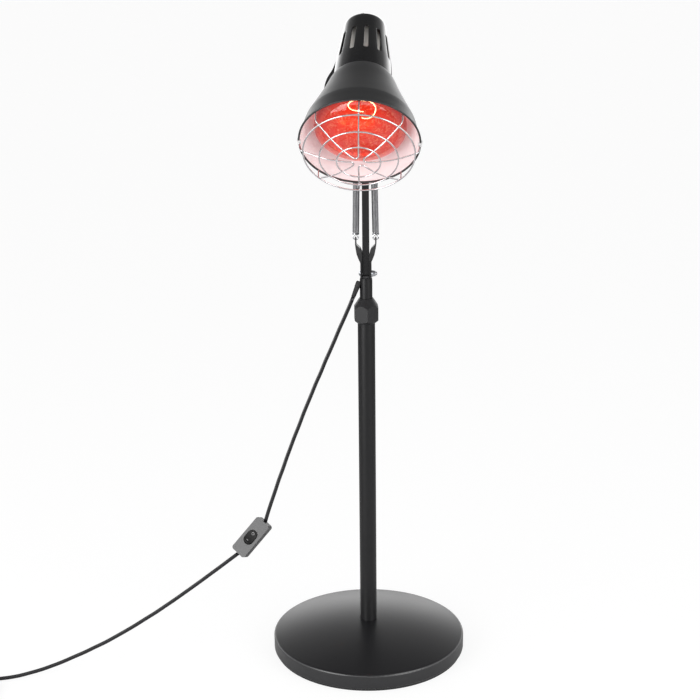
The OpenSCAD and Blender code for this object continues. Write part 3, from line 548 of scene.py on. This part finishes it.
bpy.ops.object.select_all(action="DESELECT")
bpy.ops.mesh.primitive_cylinder_add(
    vertices=64, radius=SADDLE_HOLLOW, depth=0.03, location=TILT_PIVOT, rotation=(0, pi / 2, 0)
)
hollow = bpy.context.object
bpy.ops.object.select_all(action="DESELECT")
bpy.ops.mesh.primitive_cube_add(size=1, location=SADDLE_AT)
saddle = bpy.context.object
saddle.name = "arm_saddle"
saddle.scale = SADDLE_SIZE
bpy.ops.object.transform_apply(location=True, rotation=True, scale=True)
scoop = saddle.modifiers.new("scoop", "BOOLEAN")
scoop.object = hollow
bpy.ops.object.modifier_apply(modifier="scoop")
bpy.data.objects.remove(hollow)
rounding = saddle.modifiers.new("rounding", "BEVEL")
rounding.width = SADDLE_EDGE
bpy.ops.object.modifier_apply(modifier="rounding")
hand_over(saddle, nylon, "dark_plastic", "fork")

# Wing nuts. Cast zinc hubs with two flat rounded wings, on the tilt bolt and the head bolt.
# Each is turned to where its wings point in the photograph.
NUT_HUB = [(2.6, 0), (4.6, 0), (4.8, 0.4), (4.4, 3), (3.9, 5.7), (3.6, 6), (2.6, 6), (2.6, 0)]
WING_OUT = 0.0056
WING_APART = 0.0072
WING_SPLAY = radians(27)
WING_RADII = (0.0025, 0.00095, 0.0043, 1)

for name, seat, lean, body in (
    ("tilt_wing_nut", (0.0076, 0, 0.584), 78, "tilt_nut"),
    ("head_wing_nut", (0.0071, 0, 0.835), 15, "head_nut"),
):
    along_bolt = Matrix.Translation(seat) @ Matrix.Rotation(radians(lean), 4, "X")
    hub_frame = along_bolt @ Matrix.Rotation(pi / 2, 4, "Y")
    nut = turned("cast_" + name, profile_in_metres(NUT_HUB), columns=48, frame_of=hub_frame)
    wings = []
    for side in (-1, 1):
        bpy.ops.object.select_all(action="DESELECT")
        bpy.ops.mesh.primitive_uv_sphere_add(segments=32, ring_count=20, radius=1)
        wing = bpy.context.object
        wing.matrix_world = (
            along_bolt @ Matrix.Translation((WING_OUT, 0, side * WING_APART))
            @ Matrix.Rotation(side * WING_SPLAY, 4, "Y") @ Matrix.Diagonal(WING_RADII)
        )
        bpy.ops.object.transform_apply(location=True, rotation=True, scale=True)
        wings.append(wing)
    for wing in wings:
        wing.select_set(True)
    nut.select_set(True)
    bpy.context.view_layer.objects.active = nut
    bpy.ops.object.join()
    bpy.ops.object.shade_smooth_by_angle(angle=radians(40))
    hand_over(nut, zinc, "zinc", body, name)

# Springs. Two close wound extension springs of oiled steel wire pull on the arm's pin. Each
# hangs in a ring that runs through the fork's tab, and a draw wire with an eye runs out of
# its top.
HOOK_AT = 0.0142
HOOK_HEIGHT = 0.6335
SPRING_LEAN = radians(1.06)
SPRING_LOW = 0.0088
SPRING_HIGH = 0.1175
SPRING_WIRE = 0.0013
SPRING_MEAN = 0.0049 - SPRING_WIRE / 2
SPRING_SPACING = 1.03
SPRING_STEPS = 14


def wire(name, path, radius, fineness=4):
    """Round wire along a path: a bevelled curve, made a mesh."""
    line = bpy.data.curves.new(name, "CURVE")
    line.dimensions = "3D"
    line.bevel_depth = radius
    line.bevel_resolution = fineness
    line.use_fill_caps = True
    spline = line.splines.new("POLY")
    spline.points.add(len(path) - 1)
    for point, place in zip(spline.points, path):
        point.co = (*place, 1)
    piece = bpy.data.objects.new(name, line)
    bpy.context.scene.collection.objects.link(piece)
    bpy.ops.object.select_all(action="DESELECT")
    bpy.context.view_layer.objects.active = piece
    piece.select_set(True)
    bpy.ops.object.convert(target="MESH")
    piece = bpy.context.object
    bpy.ops.object.shade_smooth()
    bpy.ops.object.mode_set(mode="EDIT")
    bpy.ops.mesh.select_all(action="SELECT")
    bpy.ops.mesh.remove_doubles(threshold=0.000001)
    bpy.ops.mesh.normals_make_consistent(inside=False)
    bpy.ops.object.mode_set(mode="OBJECT")
    return piece


oiled = Finish("oiled spring wire", Metallic=0.9)
oil = oiled.noise(300, 3)
oiled.colour(oil, (0.22, 0.22, 0.23), (0.42, 0.42, 0.43))
oiled.roughen(oil, 0.2, 0.22)
oiled.bump(oiled.noise(2500), 0.00002, 0.3)
for side, name in ((-1, "left"), (1, "right")):
    spring_frame = (
        Matrix.Translation((side * HOOK_AT, 0, HOOK_HEIGHT)) @ Matrix.Rotation(-side * SPRING_LEAN, 4, "Y")
    )
    turns = round((SPRING_HIGH - SPRING_LOW - SPRING_WIRE) / (SPRING_WIRE * SPRING_SPACING))
    rise = (SPRING_HIGH - SPRING_LOW - SPRING_WIRE) / turns
    helix = []
    for i in range(turns * SPRING_STEPS + 1):
        angle = 2 * pi * i / SPRING_STEPS
        height = SPRING_LOW + SPRING_WIRE / 2 + rise * i / SPRING_STEPS
        helix.append(spring_frame @ Vector((SPRING_MEAN * cos(angle), SPRING_MEAN * sin(angle), height)))
    spring = wire("wound_spring_" + name, helix, SPRING_WIRE / 2, fineness=2)
    hand_over(spring, oiled, "dark_spring", "springs", "spring_" + name)

plated = Finish("bright plated wire", Metallic=1.0)
plated_tone = plated.noise(900)
plated.colour(plated_tone, (0.6, 0.61, 0.63), (0.78, 0.79, 0.81))
plated.roughen(plated_tone, 0.14, 0.12)
plated.bump(plated.noise(2600), 0.00001, 0.3)
dress(plated, "spring_hooks", "spring_eyes")

# Shade. Spun steel, satin black outside and white enamel inside, with a rolled bead round
# the rim. The enamel inside carries a painted pink glow, standing in for the bulb's light on it.
# The neck behind it is spun too, enamelled gloss black and cut with twelve vents.
HEAD_PIVOT = (0, 0, 0.835)
HEAD_TURN = radians(-50.2)
RIM_FROM_PIVOT = (0, -0.051, -0.133)
HEAD = (
    Matrix.Translation(HEAD_PIVOT) @ Matrix.Rotation(HEAD_TURN, 4, "X") @ Matrix.Translation(RIM_FROM_PIVOT)
)
SHEET = 0.0009
SHADE_OUTER = [
    (79.0, 1.9), (78.2, 5), (76.9, 10), (75.4, 16), (74.1, 22), (73, 26.5), (72.3, 29), (71.8, 30.2),
    (70.9, 32.4), (68.3, 38.5), (65.6, 45), (62.5, 52.5), (59.4, 60), (56.4, 67.5), (53.5, 75),
    (50.8, 82.5), (48.2, 90), (45.7, 97), (43, 103.5), (40.9, 107), (38.9, 109), (38.25, 111),
    (38.2, 115), (38.2, 120),
]
BEAD_RADIUS = 0.0789
BEAD_DEPTH = 0.0006
BEAD_CURL = 0.0013
WHITE_FROM = 0.0022


def smooth_profile(points, steps):
    return [(p.x, p.y) for p in eased([Vector((r, s, 0)) / 1000 for r, s in points], steps)]


shade_outer = smooth_profile(SHADE_OUTER, 3)
shade_inner = [(r - SHEET, s) for r, s in shade_outer[::-1]]
bead_curl = [
    (BEAD_RADIUS + BEAD_CURL * cos(a), BEAD_DEPTH + BEAD_CURL * sin(a))
    for a in [radians(d) for d in range(200, 461, 20)]
]
shade_profile = [*bead_curl, *shade_outer, *shade_inner, bead_curl[0]]
shade = turned("spun_shade", shade_profile, columns=128, frame_of=HEAD)
enamel = Finish("satin black shade paint", Specular_IOR_Level=0.5)
shade_peel = enamel.noise(1300, 3)
enamel.colour(enamel.noise(14, 3), (0.022, 0.022, 0.023), (0.032, 0.032, 0.033))
enamel.roughen(shade_peel, 0.07, 0.36)
enamel.bump(shade_peel, 0.00003, 0.3)
# The white enamel's faint pink emission is painted light: the bulb's red glow on the inner wall.
enamel_with_painted_glow = Finish("white enamel", Specular_IOR_Level=0.5, Emission_Strength=0.13)
white_cloud = enamel_with_painted_glow.noise(24, 3)
enamel_with_painted_glow.colour(white_cloud, (0.88, 0.87, 0.88), (0.92, 0.91, 0.92))
enamel_with_painted_glow.colour(white_cloud, (1, 0.76, 0.78), (1, 0.84, 0.86), "Emission Color")
enamel_with_painted_glow.roughen(white_cloud, 0.15, 0.28)
enamel_with_painted_glow.bump(enamel_with_painted_glow.noise(700), 0.00004, 0.2)
hand_over(shade, enamel, "shade_paint", "head", "shade")
shade.data.materials.append(enamel_with_painted_glow.material)
axis_point = HEAD @ Vector((0, 0, 0.06))
axis = (HEAD.to_3x3() @ Vector((0, 0, 1))).normalized()
for face in shade.data.polygons:
    outwards = face.center - axis_point
    outwards -= outwards.dot(axis) * axis
    depth = (face.center - HEAD @ Vector((0, 0, 0))).dot(axis)
    if outwards.dot(face.normal) < 0 and depth > WHITE_FROM:
        face.material_index = 1

NECK_OUTER = [
    (39.3, 107), (39.3, 109), (39.25, 113), (39.2, 118), (38.9, 124), (38.6, 130), (38.1, 136),
    (38, 137.2), (37.7, 141), (36.9, 147), (36.1, 153), (35.2, 160), (34.3, 168), (33.3, 176),
    (32.8, 180), (32.6, 182), (32.2, 185), (31.2, 195), (30.3, 204), (29.6, 207.4), (28.9, 208.8),
    (27.8, 209.9), (26.4, 210.6), (24.6, 211), (16, 211), (5.3, 211),
]
VENTS = 12
VENT_START = -82.5
VENT_HALF_ANGLE = 4.5
VENT_LOW = 0.1371
VENT_HIGH = 0.1821
neck = turned("spun_neck", profile_in_metres(NECK_OUTER), columns=120)
for face in neck.data.polygons:
    around = degrees(atan2(face.center.y, face.center.x))
    off_vent = (around - VENT_START + 180 / VENTS) % (360 / VENTS) - 180 / VENTS
    face.select = abs(off_vent) < VENT_HALF_ANGLE and VENT_LOW < face.center.z < VENT_HIGH
for edge in neck.data.edges:
    edge.select = False
for point in neck.data.vertices:
    point.select = False
bpy.ops.object.mode_set(mode="EDIT")
bpy.ops.mesh.select_mode(type="FACE")
bpy.ops.mesh.delete(type="FACE")
bpy.ops.mesh.select_all(action="SELECT")
bpy.ops.mesh.normals_make_consistent(inside=False)
bpy.ops.mesh.select_mode(type="VERT")
bpy.ops.object.mode_set(mode="OBJECT")
wall = neck.modifiers.new("wall", "SOLIDIFY")
wall.thickness = SHEET
wall.offset = -1
bpy.ops.object.modifier_apply(modifier="wall")
rounding = neck.modifiers.new("rounding", "SUBSURF")
rounding.levels = rounding.render_levels = 1
bpy.ops.object.modifier_apply(modifier="rounding")
neck.matrix_world = HEAD
bpy.ops.object.transform_apply(location=True, rotation=True, scale=True)
bpy.ops.object.shade_smooth_by_angle(angle=radians(50))
gloss = Finish("gloss black enamel", Specular_IOR_Level=0.6, Coat_Weight=0.5, Coat_Roughness=0.05)
gloss_tone = gloss.noise(35, 3)
gloss.colour(gloss_tone, (0.004, 0.004, 0.004), (0.008, 0.008, 0.009))
gloss.roughen(gloss_tone, 0.08, 0.12)
gloss.bump(gloss.noise(160, 2), 0.00008, 0.12)
hand_over(neck, gloss, "gloss_black", "head", "neck")
dress(gloss, "shade_rivets")

# Socket. Unglazed ceramic on a brass nipple that a nut holds to the neck's end.
ceramic = Finish("socket ceramic", Roughness=0.6)
speckle = ceramic.noise(800, 5)
ceramic.colour(speckle, (0.72, 0.7, 0.65), (0.84, 0.82, 0.78))
ceramic.bump(speckle, 0.0001, 0.4)
SOCKET = [
    (14, 147), (20.7, 147), (21.5, 148), (21.5, 156), (20.8, 156.6), (20.8, 158.4), (21.5, 159),
    (21.5, 194), (20.6, 196.4), (16.4, 202.4), (14.8, 203.4), (5.2, 203.4), (5.2, 184), (13.6, 178),
    (13.6, 150), (14, 147),
]
socket = turned("ceramic_socket", profile_in_metres(SOCKET), columns=72, frame_of=HEAD)
hand_over(socket, ceramic, "socket_ceramic", "head", "lamp_socket")

brass = Finish("turned brass", Metallic=1.0)
brass_tone = brass.noise(500, 3)
brass.colour(brass_tone, (0.5, 0.36, 0.13), (0.68, 0.5, 0.22))
brass.roughen(brass_tone, 0.2, 0.22)
brass.bump(brass.noise(1500), 0.00002, 0.4)
dress(brass, "socket_nipple")

# Bulb. A reflector bulb of clear red glass: its back half is silvered inside, and its front
# lets the coiled filament show. It screws into the socket on a rolled aluminium cap.
BULB_OUTER = [
    (0.2, 1.5), (7, 1.7), (15, 2.2), (23, 3.2), (30, 4.6), (36.5, 6.4), (42, 8.5), (46.5, 10.6),
    (50, 12.8), (53.4, 15.4), (56.2, 18.2), (58.6, 21), (60, 23.6), (60.8, 26.4), (61, 29), (60.7, 32),
    (59.8, 36), (57, 43), (51.5, 53), (45, 64), (38.5, 76), (32.5, 88), (27, 100), (22.5, 112),
    (19.3, 122), (17.5, 132), (16.4, 140), (14.8, 146), (13.3, 149.6),
]
BULB_WALL = 0.0014
SILVER_FROM = 0.030
# The hot patch on the glass below the filament, and the edge where the glow fades.
HEAT_ACROSS = 0.032
HEAT_DOWN = 0.028
HEAT_ABOVE_AXIS = 0.036
GLOW_EDGE = 0.0612
bulb_outer = smooth_profile(BULB_OUTER, 2)
bulb = turned("reflector_bulb", bulb_outer, columns=96, frame_of=HEAD, sharp=60)
red_glass = Finish(
    "clear red glass", Roughness=0.05, Specular_IOR_Level=0.8, Alpha=0.8, Emission_Strength=0.78
)
in_bulb = red_glass.node(
    "ShaderNodeMapping", {"vector_type": "TEXTURE"},
    {"Vector": red_glass.place, "Location": HEAD.to_translation(), "Rotation": HEAD.to_euler()},
)
across, down = (red_glass.node("ShaderNodeSeparateXYZ", {}, {"Vector": in_bulb}, output=k) for k in (0, 1))
from_filament = (across / HEAT_ACROSS) ** 2 + ((down + HEAT_ABOVE_AXIS) / HEAT_DOWN) ** 2
heat = (from_filament ** 2 + 1) ** -1
rim_shade = (((across ** 2 + down ** 2) ** 0.5) / GLOW_EDGE) ** 9
# The pale arcs mixed into the glow are painted reflections of the filament in the silvered back.
painted_reflection_rings = red_glass.node(
    "ShaderNodeTexWave", {"wave_type": "RINGS", "rings_direction": "Z"},
    {"Vector": in_bulb, "Scale": 26.0, "Distortion": 7.0, "Detail": 1.0, "Detail Scale": 9.0},
)
painted_filament_reflections = ((painted_reflection_rings - 0.88) * 8).at_least(0)
glow = red_glass.mixed(heat, (0.6, 0.07, 0.055), (1.0, 0.045, 0.0))
glow = red_glass.mixed(painted_filament_reflections * 0.55, glow, (1.0, 0.45, 0.25))
glow = red_glass.mixed(rim_shade, glow, (0.16, 0.012, 0.012))
red_glass.feed("Emission Color", glow)
red_glass.colour(red_glass.noise(30, 2), (0.2, 0.006, 0.003), (0.3, 0.01, 0.005))
red_glass.bump(red_glass.noise(45, 1), 0.0004, 0.25)
hand_over(bulb, red_glass, "red_glass", "head", "bulb_glass")

silver_profile = [(r - BULB_WALL, s) for r, s in bulb_outer if s > SILVER_FROM]
silver = turned("bulb_silvering", silver_profile, columns=96, frame_of=HEAD, sharp=60)
mirror = Finish("silvering behind red glass", Metallic=1.0)
mirror_ripple = mirror.noise(70, 2)
mirror.colour(mirror_ripple, (0.75, 0.05, 0.02), (0.85, 0.09, 0.05))
mirror.roughen(mirror_ripple, 0.1, 0.1)
mirror.bump(mirror_ripple, 0.0015, 0.5)
hand_over(silver, mirror, "red_glass", "head", "bulb_glass")

cap = Finish("rolled aluminium", Metallic=1.0)
cap_tone = cap.noise(400, 3)
cap.colour(cap_tone, (0.55, 0.55, 0.57), (0.7, 0.7, 0.72))
cap.roughen(cap_tone, 0.2, 0.25)
cap.bump(cap.noise(900), 0.00004, 0.4)
dress(cap, "bulb_base")

# Filament. A fine coiled wire bends round five thin supports, which stand in a glass stem.
# It glows pale yellow.
FILAMENT = [
    (3, 6), (-2, 5), (-8, 3.5), (-13.5, 1), (-16.5, -3.5), (-16.5, -8.5), (-13.5, -13),
    (-8, -15.5), (-2, -16), (3, -15), (8, -15), (13, -13), (17, -8), (19, -2), (18.5, 5), (16, 12),
    (12, 17), (6, 19), (0, 17.5),
]
FILAMENT_DEPTH = 60
FILAMENT_COIL = 0.0006
FILAMENT_THREAD = 0.00028
FILAMENT_PITCH = 0.0013
PROPPED_POINTS = (0, 4, 9, 13, 18)
PROP_RADIUS = 0.00035
PROP_FOOT = 112
STEM_FOOT = [(4.5, 149), (4.5, 118), (4.9, 114), (4.4, 110.5), (2.4, 108.6), (0.2, 108)]
hot = Finish("glowing filament", Roughness=0.4, Emission_Strength=14.0)
hot_tone = hot.noise(300)
hot.colour(hot_tone, (1, 0.7, 0.3), (1, 0.8, 0.45))
hot.colour(hot_tone, (1, 0.62, 0.3), (1, 0.74, 0.44), "Emission Color")
thread = eased([Vector((x, y, FILAMENT_DEPTH)) / 1000 for x, y in FILAMENT], 40)
coiled, run = [], 0.0
for near, far in zip(thread, thread[1:]):
    ahead_of = (far - near).normalized()
    aside = ahead_of.cross(Vector((0, 0, 1)))
    turn = 2 * pi * run / FILAMENT_PITCH
    rise = Vector((0, 0, FILAMENT_COIL * sin(turn)))
    coiled.append(HEAD @ (near + aside * FILAMENT_COIL * cos(turn) + rise))
    run += (far - near).length
filament = wire("filament_coil", coiled, FILAMENT_THREAD, fineness=1)
hand_over(filament, hot, "glowing_wire", "head", "filament")
for number, place in enumerate(PROPPED_POINTS):
    x, y = FILAMENT[place]
    support = [(x, y, FILAMENT_DEPTH - 0.9), (x, y, FILAMENT_DEPTH + 3), (x * 0.1, y * 0.1, PROP_FOOT)]
    support = [HEAD @ (Vector(p) / 1000) for p in support]
    prop = wire("filament_support_%d" % (number + 1), support, PROP_RADIUS, fineness=2)
    hand_over(prop, plated, "glowing_wire", "head", "filament")
stem_glass = Finish("glass stem", Specular_IOR_Level=0.6)
stem_tone = stem_glass.noise(200, 2)
stem_glass.colour(stem_tone, (0.6, 0.62, 0.62), (0.75, 0.77, 0.77))
stem_glass.roughen(stem_tone, 0.15, 0.1)
stem = turned("filament_stem", profile_in_metres(STEM_FOOT), columns=32, frame_of=HEAD)
hand_over(stem, stem_glass, "glowing_wire", "head", "filament")

# Guard. Three wire rings are spot welded to four hairpins, whose ends turn back to the rim.
# All of it is bright chrome plated, and two clips hold it to the bead.
GUARD_WIRE = 0.001
GUARD_TURN = 2
GUARD_RINGS = (("outer", 0.0725, 0.019), ("middle", 0.051, 0.028), ("inner", 0.0283, 0.0335))
SPOKE = [
    (77.7, -0.7), (77.7, -5), (77.6, -9.5), (76.9, -12.9), (75.5, -15.2), (73, -16.8), (66, -19.9),
    (58.5, -23.1), (51, -26), (43, -28.6), (35, -30.5), (28.3, -31.5), (21, -32.5), (15.5, -33),
]
BEND_CENTRE = 0.012
BEND_DEPTH = -0.033
SPOKE_ANGLE = radians(22.5)
chrome = Finish("chrome plate", Metallic=1.0)
chrome_tone = chrome.noise(250, 2)
chrome.colour(chrome_tone, (0.72, 0.72, 0.74), (0.86, 0.86, 0.88))
chrome.roughen(chrome_tone, 0.08, 0.07)
chrome.bump(chrome.noise(1200), 0.00001, 0.2)
for name, radius, depth in GUARD_RINGS:
    bpy.ops.object.select_all(action="DESELECT")
    bpy.ops.mesh.primitive_torus_add(
        major_radius=radius, minor_radius=GUARD_WIRE, major_segments=96, minor_segments=14
    )
    ring = bpy.context.object
    ring.name = "guard_hoop_" + name
    ring.matrix_world = HEAD @ Matrix.Translation((0, 0, -depth))
    bpy.ops.object.transform_apply(location=True, rotation=True, scale=True)
    bpy.ops.object.shade_smooth()
    hand_over(ring, chrome, "guard_chrome", "head", "guard_ring_" + name)
for quarter in range(4):
    turn = HEAD @ Matrix.Rotation(radians(90 * quarter + GUARD_TURN - 112.5), 4, "Z")
    spoke = [Vector((r * cos(SPOKE_ANGLE), r * sin(SPOKE_ANGLE), s)) / 1000 for r, s in SPOKE]
    near_side = eased(spoke, 3)
    bend_radius = BEND_CENTRE * sin(SPOKE_ANGLE)
    bend_round = [
        Vector((BEND_CENTRE + bend_radius * cos(a), bend_radius * sin(a), BEND_DEPTH))
        for a in [radians(112.5 + 15 * k) for k in range(10)]
    ]
    far_side = [Vector((p.x, -p.y, p.z)) for p in near_side[::-1]]
    bent = [turn @ p for p in near_side + bend_round + far_side]
    hairpin = wire("guard_hairpin_%d" % (quarter + 1), bent, GUARD_WIRE)
    hand_over(hairpin, chrome, "guard_chrome", "head", "guard_spokes")

# The clips' pale colour is a painted highlight, standing in for the light they catch at the rim.
clip_paint_as_highlight = Finish("clip plastic painted pale as a highlight", Specular_IOR_Level=0.5)
clip_tone = clip_paint_as_highlight.noise(90, 3)
clip_paint_as_highlight.colour(clip_tone, (0.78, 0.78, 0.78), (0.84, 0.84, 0.84))
clip_paint_as_highlight.roughen(clip_tone, 0.15, 0.35)
clip_paint_as_highlight.bump(clip_paint_as_highlight.noise(1500), 0.00003, 0.3)
dress(clip_paint_as_highlight, "guard_clips")

# Cord switch. Two shells of finely grained dark grey plastic, held by screws, with an oval
# rocker in the upper one.
shell = Finish("grained switch plastic", Specular_IOR_Level=0.5)
shell_grain = shell.noise(2200, 2)
shell.colour(shell.noise(60, 2), (0.028, 0.028, 0.029), (0.04, 0.04, 0.041))
shell.roughen(shell_grain, 0.12, 0.24)
shell.bump(shell_grain, 0.00006, 0.5)
dress(shell, "switch_top", "switch_bottom")
rocker_gloss = Finish("rocker plastic", Specular_IOR_Level=0.3)
rocker_tone = rocker_gloss.noise(80, 2)
rocker_gloss.colour(rocker_tone, (0.003, 0.003, 0.003), (0.006, 0.006, 0.006))
rocker_gloss.roughen(rocker_tone, 0.1, 0.55)
rocker_gloss.bump(rocker_gloss.noise(1800), 0.00002, 0.3)
dress(rocker_gloss, "switch_rocker")

# Rocker marks. A printed ring and a printed bar in pale grey lie in the rocker's hollow face.
SWITCH_AT = (-0.1691, -0.0416, 0.1936)
SWITCH_TURN = (radians(-54.9), radians(48.7), radians(-166))
ROCKER_AT = (0, 0, 0.0015)
ROCKER_REST = radians(-6)
HOLLOW_RADIUS = 0.0295
HOLLOW_CENTRE = 0.0368
MARK_AT = 0.0062
MARK_THICK = 0.00012
MARK_LINE = 0.00032
RING_RADIUS = 0.0019
BAR_STRETCH = 6
rocker_frame = (
    Matrix.Translation(SWITCH_AT) @ Matrix.Rotation(SWITCH_TURN[2], 4, "Z")
    @ Matrix.Rotation(SWITCH_TURN[1], 4, "Y") @ Matrix.Rotation(SWITCH_TURN[0], 4, "X")
    @ Matrix.Translation(ROCKER_AT) @ Matrix.Rotation(ROCKER_REST, 4, "Y")
)
print_ink = Finish("pale printed ink", Roughness=0.5)
ink_tone = print_ink.noise(1500, 2)
print_ink.colour(ink_tone, (0.3, 0.3, 0.3), (0.42, 0.42, 0.42))
mark_lean = asin(MARK_AT / HOLLOW_RADIUS)
mark_height = HOLLOW_CENTRE - HOLLOW_RADIUS * cos(mark_lean)
for side, name, stretch in ((-1, "off", 1), (1, "on", BAR_STRETCH)):
    bpy.ops.object.select_all(action="DESELECT")
    if name == "off":
        bpy.ops.mesh.primitive_torus_add(
            major_radius=RING_RADIUS, minor_radius=MARK_LINE, major_segments=40, minor_segments=10
        )
    else:
        bpy.ops.mesh.primitive_uv_sphere_add(segments=24, ring_count=12, radius=MARK_LINE)
    mark = bpy.context.object
    mark.name = "rocker_mark_" + name
    mark.matrix_world = (
        rocker_frame @ Matrix.Translation((side * MARK_AT, 0, mark_height))
        @ Matrix.Rotation(-side * mark_lean, 4, "Y")
        @ Matrix.Diagonal((1, stretch, MARK_THICK / MARK_LINE, 1))
    )
    bpy.ops.object.transform_apply(location=True, rotation=True, scale=True)
    bpy.ops.object.shade_smooth()
    hand_over(mark, print_ink, "switch_grey", "rocker")

# Plug and tie. A moulded two pin plug lies beside the coil, which a plastic strap holds.
plug_skin = Finish("plug plastic", Specular_IOR_Level=0.45)
plug_tone = plug_skin.noise(70, 3)
plug_skin.colour(plug_tone, (0.01, 0.01, 0.011), (0.018, 0.018, 0.019))
plug_skin.roughen(plug_tone, 0.2, 0.4)
plug_skin.bump(plug_skin.noise(1700), 0.00005, 0.4)
dress(plug_skin, "plug_body", "cord_tie")
dress(plated, "plug_pins")
